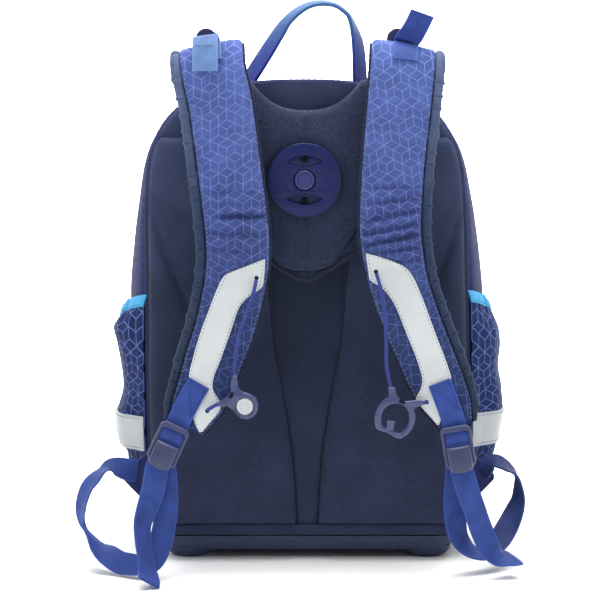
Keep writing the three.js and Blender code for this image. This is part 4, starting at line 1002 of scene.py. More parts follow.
def yoke_spot(u, v, lift=0.0):
    """Place on the front of the yoke: u from -1 to 1 across it, v from its foot to its neck."""
    far = abs(u) * YOKE_WIDE
    scoop = YOKE_NECK + (YOKE_WING - YOKE_NECK) * (far / SCOOP_HALF) ** 2.6
    top = scoop if far < SCOOP_HALF else YOKE_WING - max(0, far - SHOULDER_FROM) * SHOULDER_FALL
    low = foot_edge(u)
    side = smooth(YOKE_V, YOKE_HALF, v) * u
    z = low + (top - low) * v
    edge = (1 - abs(u) ** 30) * (1 - abs(2 * v - 1) ** 60)
    over = z - smooth(CROWN_FAR, CROWN_FOOT, abs(side))
    puff = clamp(over / CROWN_ROUND)
    crown = (1 - abs(u) ** 8) * (1 - v ** 9) * math.sqrt(puff * (2 - puff))
    crease = CREASE_DEEP * math.exp(-((side / CREASE_WIDE) ** 2)) * puff * clamp((top - 5 - z) / 8)
    groove = GROOVE_DEEP * math.exp(-((over / GROOVE_WIDE) ** 2))
    rise = YOKE_RIM + YOKE_SWELL * crown - crease - groove + lift
    return Vector((side + YOKE_SHIFT, YOKE_BACK - edge * rise, z))


def yoke_face(u, v):
    spot = yoke_spot(2 * u - 1, v)
    spot.y += wavy(at(*spot), 40, 0.9) if abs(2 * u - 1) < 0.98 and 0.02 < v < 0.98 else 0
    return at(*spot)


def yoke_behind(u, v):
    spot = yoke_spot(2 * u - 1, v)
    return at(spot.x, YOKE_BACK, spot.z)


# %% Yoke and its binding
yoke = pillow("yoke_pad", 112, 120, yoke_face, yoke_behind)
dressed(yoke, yoke_knit, "navy_cloth", "yoke", angle=70)


def binding_place(u, v):
    c = 1.9 * u - 0.95
    share = (0.6 + FOOT_BAND * 0.6 * v) / (YOKE_NECK - foot_edge(c))
    return at(*yoke_spot(c, share, 0.9 - 0.6 * abs(2 * v - 1) ** 3))


yoke_edge = cloth_grid("yoke_binding", 140, 12, binding_place)
thickened(yoke_edge, 0.9, 0)
dressed(yoke_edge, dark_binding, "navy_cloth")
lip_line = [yoke_spot(0.95 * k / 80, 0.012, -1.2) for k in range(-80, 81)]
rolled("yoke_lip", 8, 240, (lip_line, 1.5, 0.1, 4.0), dark_binding, "navy_cloth")

# %% [markdown]
# The base is a moulded tray with a rounded rim and four blunt feet, one under each corner. It
# is made like a turned bowl, only that the turning follows a rectangle with round corners: u
# runs round the loop and v down the wall, under the floor and out to each foot.

# %% Form of the base
BASE_HALF, BASE_BACK, BASE_FRONT, BASE_CORNER = 126, -PANEL - 0.8, 163, 22
TRAY_WALL = [
    (13.0, 20), (13.0, 9), (13.4, 6.6), (19.2, 3), (BASE_TOP - GAP, 2.2), (BASE_TOP - GAP, 0.6),
    (19.0, 0), (14.0, 1.2), (13.4, 1.9), (12.9, 1.9), (10.5, 3.6), (8.6, 5.6), (7.6, 8.2), (7.5, 12),
    (7.5, 20),
]


def tray_place(u, v):
    z, inset = along_rows(TRAY_WALL, v * (len(TRAY_WALL) - 1), 2)
    radius = BASE_CORNER - inset * 0.5
    half, back, front = BASE_HALF - inset, BASE_BACK + inset * 0.5, BASE_FRONT - inset
    wide, deep = half - radius, (front - back) / 2 - radius
    sides = [2 * deep, math.pi / 2 * radius, 2 * wide, math.pi / 2 * radius] * 2
    far = (u % 1) * sum(sides)
    k = 0
    while far > sides[k]:
        far -= sides[k]
        k += 1
    corner = [(wide, deep), (-wide, deep), (-wide, -deep), (wide, -deep)][(k // 2) % 4]
    turn = k // 2 * math.pi / 2
    if k % 2:
        turn += far / radius
        x, y = corner[0] + radius * math.cos(turn), corner[1] + radius * math.sin(turn)
    else:
        x = corner[0] + radius * math.cos(turn) - math.sin(turn) * (far - sides[k])
        y = corner[1] + radius * math.sin(turn) + math.cos(turn) * (far - sides[k])
    return at(x, y + (front + back) / 2, z)


# %% Base with its feet
FOOT_X, FOOT_WIDE, FOOT_LONG, FOOT_BACK, FOOT_FRONT = 101, 21, 17, 11, 134
FOOT_LEVELS = [(0, 0.45), (0.15, 0.53), (0.8, 0.64), (2.6, 0.8), (6, 0.95), (9.5, 1.0)]


def foot_place(middle_x, middle_y):
    def place(u, v):
        z, size = along_rows(FOOT_LEVELS, v * (len(FOOT_LEVELS) - 1), 2)
        turn = 2 * math.pi * u
        x = middle_x + FOOT_WIDE * size * math.cos(turn)
        return at(x, middle_y + FOOT_LONG * size * math.sin(turn), z)

    return place


tray = closed_round(cloth_grid("moulded_base", 160, 28, tray_place))
feet = [
    closed_round(cloth_grid("base_foot", 40, 12, foot_place(turn * FOOT_X, y)))
    for turn in (-1, 1) for y in (FOOT_BACK, FOOT_FRONT)
]
alone(tray)
for foot in feet:
    foot.select_set(True)
bpy.ops.object.join()
dressed(tray, base_plastic, "base_plastic", "base_tray", angle=40)


# %% Band over the base seam
LOW_BAND_FOOT, LOW_BAND_TALL = 21.2, 8.6


def low_band_place(u, v):
    z = LOW_BAND_FOOT + LOW_BAND_TALL * v
    x = (2 * u - 1) * (edge_place(edge_share(z))[0] - 3) + leaning(z)
    return at(x, -GAP - PANEL - 1.1 + 0.5 * abs(2 * v - 1) ** 4, z)


low_band = cloth_grid("low_seam_band", 120, 8, low_band_place)
thickened(low_band, 0.9, 0)
dressed(low_band, panel_knit, "navy_cloth")

# %% [markdown]
# The adjuster is a moulded disc the size of a jar lid, with two eye shaped openings for its
# screws and a round socket. All of that is flat work, so each layer is a filled curve with its
# holes, given its thickness and a round bevel, and turned into a mesh.


# %% Flat moulded plates
def drawn_in(outline, by):
    """A closed outline with every point moved inwards, or outwards when the distance is negative."""
    around = np.array(outline, dtype=float)
    before, after = np.roll(around, 1, axis=0), np.roll(around, -1, axis=0)
    turn = np.sign(np.sum(around[:, 0] * after[:, 1] - around[:, 1] * after[:, 0]))
    way = after - before
    inward = turn * np.stack([-way[:, 1], way[:, 0]], axis=1)
    return around + by * inward / np.linalg.norm(inward, axis=1, keepdims=True)


def moulded_plate(name, outlines, thick, edge, place, lean, material, slot, *nodes):
    """A flat moulded part with round edges, from its outline and its holes in x and z."""
    line = bpy.data.curves.new(name, "CURVE")
    line.dimensions = "2D"
    line.fill_mode = "BOTH"
    line.extrude = (thick / 2 - edge) * MM
    line.bevel_depth = edge * MM
    line.bevel_resolution = 2
    for outline in [drawn_in(outlines[0], edge), *(drawn_in(hole, -edge) for hole in outlines[1:])]:
        run = line.splines.new("POLY")
        run.points.add(len(outline) - 1)
        for point, (x, z) in zip(run.points, outline):
            point.co = (x * MM, z * MM, 0, 1)
        run.use_cyclic_u = True
    linked(name, line)
    bpy.ops.object.convert(target="MESH")
    made = bpy.context.object
    made.rotation_euler = (math.pi / 2, lean, 0)
    made.location = at(*place)
    bpy.ops.object.transform_apply(location=True, rotation=True, scale=True)
    return dressed(closed_round(made), material, slot, *nodes, angle=25)


def rounded_box(left, low, right, high, radius, steps=6):
    """Outline of a rectangle with round corners."""
    middles = [
        (right - radius, high - radius), (left + radius, high - radius), (left + radius, low + radius),
        (right - radius, low + radius),
    ]
    turns = [(k, math.pi / 2 * (k + n / steps)) for k in range(4) for n in range(steps + 1)]
    return [
        (middles[k][0] + radius * math.cos(a), middles[k][1] + radius * math.sin(a))
        for k, a in turns
    ]


def closed_curve(points):
    """A smooth closed outline through points in x and z."""
    around = [(x, 0, z) for x, z in (points[-1], *points, points[0], points[1])]
    return [(spot.x, spot.z) for spot in curve_through(around, 5)[5:-6]]


# %% Adjuster disc
DISC_X, DISC_Z, DISC_RADIUS, DISC_BACK, DISC_FRONT, DISC_FLOOR = -3.5, 322.6, 30.3, -33.9, -40, -35.4
EYE_HALF, EYE_TALL, EYE_TIP = 14.2, 4.9, 0.8
MEDAL_RADIUS, GROOVE_RADIUS = 8.1, 8.9
EYES = {"upper": (15.3, -37.6, 1.5), "lower": (-15.7, DISC_FLOOR, -1.5)}


def ring(radius, steps=96):
    return [
        (radius * math.cos(2 * math.pi * k / steps), radius * math.sin(2 * math.pi * k / steps))
        for k in range(steps)
    ]


def eye(up, grown=0.0):
    """Outline of an eye between two arcs."""
    upper = [
        (k / 16, (EYE_TALL - EYE_TIP) * (1 - (k / 16) ** 2) + EYE_TIP + grown)
        for k in range(16, -17, -1)
    ]
    lower = [(x, -z) for x, z in reversed(upper)]
    return [((EYE_HALF + grown) * x, up + z) for x, z in upper + lower]


def disc_plate(name, outlines, back, front, edge, *nodes):
    place = (DISC_X, (back + front) / 2, DISC_Z)
    return moulded_plate(
        name, outlines, back - front, edge, place, 0, disc_plastic, "disc_plastic", *nodes,
    )


openings = [eye(up) for up, floor, screw_up in EYES.values()]
disc_plate(
    "adjuster_lid", [ring(DISC_RADIUS), ring(GROOVE_RADIUS), *openings], DISC_FLOOR, DISC_FRONT, 0.7,
    "adjuster_disc",
)
disc_plate("adjuster_floor", [ring(DISC_RADIUS - 0.6)], DISC_BACK, DISC_FLOOR, 0.3)
disc_plate("adjuster_ledge", [eye(EYES["upper"][0], 0.5)], DISC_FLOOR, EYES["upper"][1], 0.2)
inner = [(x, z) for x, z in ring(GROOVE_RADIUS + 0.8, 48) if x > 6.5]
facet = sorted(inner, key=lambda point: point[1]) + [(10, 7.8), (18, -0.8), (10.5, -9)]
disc_plate("adjuster_facet_right", [facet], DISC_FRONT + 1, DISC_FRONT - 0.5, 0.3)
disc_plate("adjuster_facet_left", [[(-x, z) for x, z in facet]], DISC_FRONT + 1, DISC_FRONT - 0.5, 0.3)


# %% Turned button and screws
def turned(name, profile, middle_x, middle_z, sides=96):
    """A round part from its profile of (radius, y) rows, by insetting the face of a cylinder."""
    (first_radius, back), (second_radius, next_y) = profile[:2]
    deep = abs(next_y - back)
    place = at(middle_x, (back + next_y) / 2, middle_z)
    bpy.ops.mesh.primitive_cylinder_add(
        vertices=sides, radius=first_radius * MM, depth=deep * MM, location=place,
        rotation=(math.pi / 2, 0, 0),
    )
    made = bpy.context.object
    made.name = made.data.name = name
    bpy.ops.object.transform_apply(location=True, rotation=True, scale=True)
    middle = at(middle_x, 0, middle_z)
    radius, level = second_radius, next_y
    for new_radius, new_level in profile[2:]:
        here = at(0, level, 0).y

        def on_axis(spot):
            away = math.hypot(spot.x - middle.x, spot.z - middle.z)
            return abs(spot.y - here) < 1e-5 and away < 1e-4

        pick(made, "FACE", on_axis)
        bpy.ops.mesh.inset(thickness=(radius - new_radius) * MM)
        bpy.ops.transform.translate(value=(0, (new_level - level) * MM, 0))
        bpy.ops.object.mode_set(mode="OBJECT")
        radius, level = new_radius, new_level
    return made


MEDAL_PROFILE = [(0, 0.7), (0.4, 0.2), (1, 0), (2, 0), (2.3, 0.35), (2.7, 0.35), (3, 0.05), (6.9, -0.25)]
medal_rows = [(MEDAL_RADIUS, DISC_FLOOR - 0.3)]
medal_rows += [(MEDAL_RADIUS - step, DISC_FRONT - 0.6 + level) for step, level in MEDAL_PROFILE]
medal = turned("adjuster_button", medal_rows, DISC_X, DISC_Z, 64)
dressed(medal, medal_plastic, "disc_plastic", "adjuster_medallion", angle=35)

SCREW_PROFILE = [(3.2, 0), (3.2, 0.7), (2.9, 1.1), (2.2, 1.35), (1.5, 1.4), (1.3, 0.5)]
for name, (up, floor, screw_up) in EYES.items():
    back = floor - 0.3
    screw_rows = [(radius, back - level) for radius, level in SCREW_PROFILE]
    screw = turned(f"adjuster_screw_{name}_head", screw_rows, DISC_X, DISC_Z + up + screw_up, 32)
    dressed(screw, screw_steel, "screw_black", "adjuster_screw_" + name, angle=35)

# %% [markdown]
# The shoulder straps carry most of the detail. Each is a foam core with a puffy bound roll on
# its outer edge, a thin binding on its inner edge and a printed cover between them. One table
# gives the middle line, the half width and the lean; all layers read the same table, so that
# they lie on each other like the real ones.

# %% Strap tables
STRAP_THICK, STRAP_END_THICK, COVER, PATCH, FOLD_ROW = 5.5, 3.2, 1.4, 0.8, 3
STRAPS = {
    "left": {
        "inward": 1,
        "rows": [
            (-82, -27.5, 402, 27, 9), (-83, -28, 412, 28, 10), (-83, -41, 426.6, 30.5, 11.5),
            (-82, -54, 412, 30.5, 10), (-75.5, -56, 382, 30.6, 7), (-69, -56, 333, 30.7, 6),
            (-62.3, -57, 275, 31, 3), (-64, -60, 240.7, 30, -6), (-72.3, -65, 203.5, 29, -14),
            (-81, -69, 178.4, 28, -17), (-88, -72, 156, 26.5, -17), (-95, -75, 139.5, 24, -17),
            (-102, -77.5, 122.5, 17.5, -17),
        ],
        "creases": [
            ((-74, 294.1), (-33, 294.6), 2.0, 3.2), ((-82, 315.2), (-41, 313.6), 3.4, 1.6),
            ((-84.5, 282.2), (-38, 279.8), 3.2, 1.7), ((-70.6, 304), (-43.8, 305.7), 2.8, 1.2),
            ((-80, 268), (-46, 265), 3.4, 1.3),
        ],
        "patch": [
            (-55.9, 250.7, -35.6, 258.6), (-65.6, 246.7, -35.8, 253.2), (-70.5, 242.6, -36.4, 245),
            (-74.6, 234.4, -38.5, 235.3), (-77, 228.7, -47.8, 228.7), (-81.1, 218.1, -56.7, 219),
            (-88.5, 198.6, -64.1, 198.6), (-94.7, 177.3, -71.9, 177.3), (-97.6, 164.2, -77.6, 162.5),
            (-97.4, 152.7, -78.1, 152.7), (-96, 142.8, -72.6, 142.8), (-94.4, 133, -73, 135.5),
            (-92, 124, -80.4, 126.4), (-89, 118.6, -86, 119.6),
        ],
        "cord_holes": [(-42.8, 243), (-82.8, 135.9)],
        "grain": 0,
    },
    "right": {
        "inward": -1,
        "rows": [
            (79, -27.5, 402, 27.5, -9), (80, -28, 412, 28.5, -10), (80.5, -41, 426.4, 31, -11.5),
            (80, -54, 412, 31, -10), (76.6, -56, 375, 30.6, -6), (72.6, -56, 333, 30, -4),
            (70.5, -57, 285, 29.8, 0), (73.5, -59, 258, 29.2, 8), (77.5, -61, 238.5, 28.6, 14),
            (86.5, -65, 212, 27.8, 18), (98, -69, 183, 27.2, 20), (109, -73, 157, 26, 20),
            (117, -76, 140, 22, 17), (122, -78.5, 124, 15.5, 12),
        ],
        "creases": [
            ((51, 317.7), (91, 317.7), 3.0, 1.7), ((46.4, 305.5), (89.5, 309.5), 3.0, 1.9),
            ((44.9, 291.2), (91.2, 300.6), 2.6, 2.3), ((42.5, 279.4), (91.2, 288.9), 2.2, 2.2),
            ((42.5, 269.6), (91.3, 280.1), 2.0, 2.8), ((46.5, 263.8), (91.3, 268.8), 2.2, 1.7),
            ((67.7, 256.4), (92.2, 260.3), 2.4, 1.4),
        ],
        "patch": [
            (46.5, 263.5, 67.4, 257.2), (47.2, 257.2, 76.3, 253.2), (48.6, 249.1, 82, 248.3),
            (50.4, 241, 86.1, 241.8), (60.2, 234.4, 89.4, 234.4), (69.9, 221.4, 94.7, 221.4),
            (79.8, 197.7, 103.4, 197.7), (88, 177.3, 111.2, 177.3), (92.2, 162.5, 115.8, 162.5),
            (91.4, 154.3, 114.2, 152.7), (87, 144.4, 111.8, 143.5), (92.6, 136, 109.4, 135.9),
            (98.6, 129.6, 108, 130.2), (104, 124.4, 106, 125),
        ],
        "cord_holes": [(54.9, 248.4), (96.2, 143.1)],
        "grain": math.radians(7),
    },
}


# %% Frames along a strap
def prepare(strap, count=800):
    """Place, width direction, normal and half width at many steps of a strap, and its length run."""
    rows = strap["rows"]
    steps = np.linspace(0, len(rows) - 1, count)
    data = np.array([along_rows(rows, t, 5) for t in steps])
    run = np.gradient(data[:, :3], axis=0)
    run /= np.linalg.norm(run, axis=1)[:, None]
    tilt = np.radians(data[:, 4])
    across = np.stack([np.cos(tilt), 0 * tilt, np.sin(tilt)], axis=1)
    across -= run * np.sum(run * across, axis=1)[:, None]
    across /= np.linalg.norm(across, axis=1)[:, None]
    strap["steps"] = steps
    strap["long"] = length_run(data[:, :3])
    strap["table"] = np.hstack([data[:, :3], across, np.cross(run, across), data[:, 3:4]])


def strap_row(strap, t):
    place = clamp(t / strap["steps"][-1]) * (len(strap["steps"]) - 1)
    k = min(int(place), len(strap["steps"]) - 2)
    return strap["table"][k] * (k + 1 - place) + strap["table"][k + 1] * (place - k)


def strap_step(strap, share):
    """The table's row number at a share of the strap's length."""
    return float(np.interp(share * strap["long"][-1], strap["long"], strap["steps"]))


def strap_spot(strap, c, t, height):
    """Place on a strap: c from the outer edge (-1) to the inner (1), height over its middle."""
    row = strap_row(strap, t)
    return Vector(row[0:3] + row[3:6] * (c * strap["inward"] * row[9]) + row[6:9] * height)


def strap_thick(strap, t):
    thin = clamp((t - (strap["steps"][-1] - 2)) / 2)
    return STRAP_THICK + (STRAP_END_THICK - STRAP_THICK) * thin


def fold_depth(strap, x, z):
    """Depth of the creases at a place seen from the wearer's side, with raised shoulders."""
    total = 0
    for (ax, az), (bx, bz), reach, deep in strap["creases"]:
        dx, dz = bx - ax, bz - az
        long = math.hypot(dx, dz)
        along = ((x - ax) * dx + (z - az) * dz) / long
        away = abs((x - ax) * dz - (z - az) * dx) / long / reach
        inside = clamp((along + 4) / 8) * clamp((long + 4 - along) / 8)
        total += deep * inside * (math.exp(-away * away) - 0.6 * math.exp(-(((away - 2.2) / 0.9) ** 2)))
    return total


SEAM_AT, INNER_AT, SEAM_SINK, INNER_SINK = -0.7, 0.97, 0.9, 0.8


def cover_height(strap, c, t):
    """Height of the printed cover over the middle of the strap."""
    height = strap_thick(strap, t) * (1 - 0.5 * abs(c) ** 5) + GAP + COVER
    height -= SEAM_SINK * math.exp(-(((c - SEAM_AT) / 0.035) ** 2))
    height -= INNER_SINK * math.exp(-(((c - INNER_AT) / 0.05) ** 2))
    if t > FOLD_ROW:
        spot = strap_spot(strap, c, t, 0)
        height -= fold_depth(strap, spot.x, spot.z) * clamp((c + 0.75) / 0.2)
        height += wavy(at(*spot), 18, 0.5)
    return height


for strap in STRAPS.values():
    prepare(strap)
    print("strap of", round(strap["long"][-1]), "mm")

# %% [markdown]
# The core is lofted: one closed cross-section, with the roll on its outer side, is carried along
# the strap. The roll is gathered, so its radius ripples with the pull of the thread. The cover
# is a sheet over it, creased where a folded strap would buckle.


# %% Strap cores, covers and edge bindings
LUMP, RIB = 15.0, 2.6
ROLL_TO, TOP_TO, ROLL_HIGH, TOP_HIGH = 0.28, 0.55, 6.8, 2.0
CORE_GIRTH, LINING_FROM, LINING_TO = 90, 53, 88


def core_outline(u):
    """Cross-section of the core: (c, height) for u once round, the roll first."""
    if u < ROLL_TO:
        turn = math.pi * u / ROLL_TO
        return -0.85 - 0.15 * math.cos(turn), ROLL_HIGH * math.sin(turn) ** 0.6, True
    if u < TOP_TO:
        c = -0.71 + 1.7 * (u - ROLL_TO) / (TOP_TO - ROLL_TO)
        return c, TOP_HIGH * (1 - clamp((c - 0.8) / 0.19) ** 2), False
    c = 0.99 - 1.99 * (u - TOP_TO) / (1 - TOP_TO)
    return c, -STRAP_THICK * (1 - abs(c) ** 8) ** 0.5, False


def gathered(far, side):
    """How far the roll stands out: lumps of uneven length, pinched by the thread, some with ribs."""
    slow = far / LUMP + 0.8 * noise.noise(Vector((far / 24, side * 7, 0)))
    pinch = math.exp(-(((slow % 1) - 0.5) / 0.09) ** 2)
    ribbed = clamp(3 * noise.noise(Vector((far / 17, side * 3, 5))))
    return 0.5 - 1.5 * pinch + 0.35 * ribbed * math.sin(2 * math.pi * far / RIB)


def strap_pieces(side):
    strap = STRAPS[side]
    total = strap["long"][-1]

    def core_place(u, v):
        u %= 1
        t = strap_step(strap, v)
        c, height, roll = core_outline(u)
        height *= strap_thick(strap, t) / STRAP_THICK
        if roll:
            pull = gathered(v * total, strap["inward"])
            height += pull * math.sin(math.pi * u / ROLL_TO)
            c += 0.03 * pull * math.cos(math.pi * u / ROLL_TO) if t > FOLD_ROW else 0
        return at(*strap_spot(strap, c, t, height))

    def core_cut(u, v):
        return u * CORE_GIRTH, v * total

    core = closed_round(cloth_grid("strap_core_" + side, 48, 420, core_place, core_cut))
    core.data.materials.append(binding)
    core.data.materials.append(under_mesh)
    for face in core.data.polygons:
        flat = [core.data.uv_layers.active.data[k].uv[0] / MM for k in face.loop_indices]
        face.material_index = 1 if min(flat) > LINING_FROM and max(flat) < LINING_TO else 0
    dressed(core, None, "slate_binding", "strap_pad_" + side, angle=60)

    def cover_place(u, v):
        t = strap_step(strap, v)
        c = SEAM_AT + (INNER_AT - SEAM_AT) * u
        return at(*strap_spot(strap, c, t, cover_height(strap, c, t)))

    def cover_cut(u, v):
        t = strap_step(strap, v)
        x = strap_spot(strap, SEAM_AT + (INNER_AT - SEAM_AT) * u, t, 0).x
        along, grain = v * total, strap["grain"]
        across = x * math.cos(grain) - along * math.sin(grain)
        return across, -along * math.cos(grain) - x * math.sin(grain)

    cover = cloth_grid("printed_cover_" + side, 48, 330, cover_place, cover_cut, flip=strap["inward"] > 0)
    thickened(cover, COVER)
    dressed(cover, strap_print, "printed_cloth", "strap_cover_" + side, angle=60)

    line = [strap_spot(strap, 0.985, strap_step(strap, k / 200), 1.2) for k in range(201)]
    rolled("inner_binding_" + side, 10, 320, (line, 1.4, 0.12, 5.0), dark_binding, "slate_binding", 60)


for side in STRAPS:
    strap_pieces(side)

# %% [markdown]
# A pale reflective piece is sewn on each strap, pointed at its upper inner corner, with a
# hole at each end for the chest cord. Sewing shows as a row of small threads. One stitch is
# modelled and then copied along the line, because hundreds of them need to stay light.


# %% Stitches
def stitches(name, spots, thread, slot, long=2.0, thick=0.6):
    """One stitch copied to every (place, direction, normal) of the list, as a single mesh."""
    bpy.ops.mesh.primitive_uv_sphere_add(segments=6, ring_count=4, radius=1)
    one = bpy.context.object
    shape = np.array([v.co for v in one.data.vertices]) * np.array([long / 2, thick / 2, thick / 2])
    corners = [tuple(face.vertices) for face in one.data.polygons]
    bpy.data.objects.remove(one)
    points, faces = [], []
    for place, ahead, up in spots:
        side = up.cross(ahead).normalized()
        turn = np.array([ahead.normalized(), side, ahead.cross(side).normalized()])
        faces += [tuple(k + len(points) for k in face) for face in corners]
        points += [at(*p) for p in shape @ turn + np.array(place)]
    mesh = bpy.data.meshes.new(name)
    mesh.from_pydata(points, [], faces)
    made = linked(name, mesh)
    bpy.ops.object.mode_set(mode="EDIT")
    bpy.ops.mesh.select_all(action="SELECT")
    bpy.ops.mesh.normals_make_consistent(inside=False)
    bpy.ops.object.mode_set(mode="OBJECT")
    return dressed(made, thread, slot, angle=80)


def sewn_along(line, gap):
    """Stitch places along a line of (place, normal) pairs, one every gap millimetres."""
    places, normals = (np.array([tuple(pair[k]) for pair in line]) for k in (0, 1))
    run = length_run(places)

    def read(data, far):
        return Vector([np.interp(far, run, data[:, k]) for k in range(3)])

    spots = []
    for far in np.arange(gap / 2, run[-1], gap):
        ahead = read(places, far + 0.5) - read(places, far - 0.5)
        spots.append((read(places, far), ahead.normalized(), read(normals, far).normalized()))
    return spots


def on_cover(strap, c, t, lift):
    row = strap_row(strap, t)
    return strap_spot(strap, c, t, cover_height(strap, c, t) + lift), Vector(row[6:9])


for side, strap in STRAPS.items():
    rows = [strap_step(strap, 0.14 + 0.85 * k / 300) for k in range(301)]
    outer_row = sewn_along([on_cover(strap, SEAM_AT + 0.05, t, 0.15) for t in rows], 3.6)
    inner_row = sewn_along([on_cover(strap, INNER_AT - 0.06, t, 0.1) for t in rows], 3.6)
    stitches("strap_stitches_" + side, outer_row + inner_row, slate_thread, "slate_binding", 2.3)

# %% Seams of the yoke
facing = Vector((0, -1, 0))
foot_seam = []
for k in range(-60, 61):
    low = foot_edge(k / 100)
    height = smooth(CROWN_FAR, CROWN_FOOT, abs(k / 100) * FOOT_HALF) + 0.4
    foot_seam.append((yoke_spot(k / 100, (height - low) / (YOKE_NECK - low), 1.0), facing))
neck_seam = [(yoke_spot(k / 200, 0.992, 0.3), facing) for k in range(-42, 43)]
worn_neck = [spot for k, spot in enumerate(sewn_along(neck_seam, 2.8)) if math.sin(3.7 * k) > -0.3]
stitches("yoke_stitches", sewn_along(foot_seam, 2.8) + worn_neck, slate_thread, "navy_cloth", 1.9, 0.5)
crease = [(yoke_spot(0, 0.8 + 0.16 * k / 20, 0.2), facing) for k in range(21)]
stitches("crease_stitches", sewn_along(crease, 5.0), navy_thread, "navy_cloth", 1.6, 0.9)


# %% Reflective pieces with their cord holes
HOLE = 2.0


def strap_place(strap, x, z):
    """Where a place seen from the wearer's side lies on the strap: across it and along it."""
    first = int(np.searchsorted(strap["steps"], FOLD_ROW))
    table = strap["table"][first:]
    ahead = (z - table[:, 2]) * table[:, 3] - (x - table[:, 0]) * table[:, 5]
    t = float(np.interp(0, ahead, strap["steps"][first:]))
    row = strap_row(strap, t)
    return strap["inward"] * ((x - row[0]) * row[3] + (z - row[2]) * row[5]) / row[9], t


def patch_piece(side):
    strap = STRAPS[side]
    rows = strap["patch"]
    end = len(rows) - 1

    def spot(u, v, lift):
        x0, z0, x1, z1 = along_rows(rows, v * end, 4)
        c, t = strap_place(strap, x0 + (x1 - x0) * u, z0 + (z1 - z0) * u)
        edge = max(abs(2 * u - 1) ** 10, abs(2 * v - 1) ** 40)
        return on_cover(strap, clamp(c, -0.9, 0.95), t, lift - 0.5 * edge)

    patch = cloth_grid(
        "reflective_patch_" + side, 22, 120, lambda u, v: at(*spot(u, v, 0.9 + PATCH)[0]), flip=True,
    )
    thickened(patch, PATCH)
    dressed(patch, bead_cloth, "reflective_cloth", "strap_patch_" + side, angle=60)
    line = [(u / 20, 0.02) for u in range(2, 19)] + [(0.94, v / 100) for v in range(2, 99)]
    line += [(1 - u / 20, 0.98) for u in range(2, 19)] + [(0.06, 1 - v / 100) for v in range(2, 99)]
    sewn = sewn_along([spot(u, v, 0.95 + PATCH) for u, v in line], 3.2)
    stitches("patch_stitches_" + side, sewn, grey_thread, "reflective_cloth", 1.4, 0.7)
    # Each cord hole is a flat dark lens on the patch: painted shade of the hole.
    for number, (x, z) in enumerate(strap["cord_holes"]):
        c, t = strap_place(strap, x, z)
        middle, normal = on_cover(strap, c, t, 0.6 + PATCH)
        turn = normal.to_track_quat("Z", "Y").to_euler()
        bpy.ops.mesh.primitive_uv_sphere_add(
            segments=24, ring_count=12, radius=HOLE * MM, location=at(*middle), rotation=turn,
        )
        made = bpy.context.object
        made.scale.z = 0.35
        made.name = f"cord_hole_{side}_{number}"
        bpy.ops.object.transform_apply(location=True, rotation=True, scale=True)
        dressed(made, painted_hole_shade, "reflective_cloth")


for side in STRAPS:
    patch_piece(side)

# %% [markdown]
# Webbing is a flat tape that bends easily over its face and hardly at all over its edge. Each
# run is a table of places with the direction of the width, read smoothly from row to row. The
# sewn tabs, the adjusting webbing, the lifter tabs and the handle are all such runs.

# %% Tapes
WEB_WIDE, WEB_THICK = 19, 1.6


def tape_spot(rows, wide, u, v, lift=0.0, camber=0.35):
    """Place on a tape and its normal: u across it, v along its rows."""
    end = len(rows) - 1
    t = v * end
    here = along_rows(rows, t, 6)
    ahead = Vector(along_rows(rows, min(t + 0.02, end))) - Vector(along_rows(rows, max(t - 0.02, 0)))
    ahead.normalize()
    across = Vector(here[3:])
    across -= ahead * across.dot(ahead)
    across.normalize()
    normal = ahead.cross(across)
    c = 2 * u - 1
    return Vector(here[:3]) + across * (c * wide / 2) + normal * (lift + camber * (1 - c * c)), normal


def tape(name, rows, wide, thick, material, slot, *nodes, detail=7, camber=0.35):
    """A tape of woven cloth along its rows, with firm edges."""
    steps = (len(rows) - 1) * detail
    lines = [Vector(along_rows(rows, k / detail)) for k in range(steps + 1)]
    run = length_run(lines)
    made = cloth_grid(
        name, 10, steps, lambda u, v: at(*tape_spot(rows, wide, u, v, 0, camber)[0]),
        lambda u, v: (u * wide, np.interp(v * steps, range(steps + 1), run)),
    )
    thickened(made, thick, 0)
    shaped(made, "BEVEL", width=0.35 * MM, segments=2, limit_method="ANGLE", angle_limit=math.radians(60))
    print(name, round(run[-1]), "mm of webbing")
    return dressed(made, material, slot, *nodes, angle=50)


# %% Buckle places and sewn tabs
BUCKLES = {"left": (-109, -85, 121, math.radians(25)), "right": (118.8, -86, 120, math.radians(-10))}
TABS = {
    "left": [(-89.3, 158.3), (-95.5, 147.5), (-101.5, 136.5)],
    "right": [(106.2, 158.9), (110.4, 148), (114.4, 137)],
}
TAB_ROUTE = [(2.4, 8), (2.0, 3.5), (0.2, -1.5), (-0.9, -5.5), (-0.4, -9), (2.2, -11.5)]


def in_buckle(side, x, y, z, turn=1):
    """A place of a buckle's own frame as a table row, with the direction across the buckle."""
    px, py, pz, lean = BUCKLES[side]
    right = x * math.cos(lean) + z * math.sin(lean)
    up = -x * math.sin(lean) + z * math.cos(lean)
    return px + right, py + y, pz + up, turn * math.cos(lean), 0, -turn * math.sin(lean)


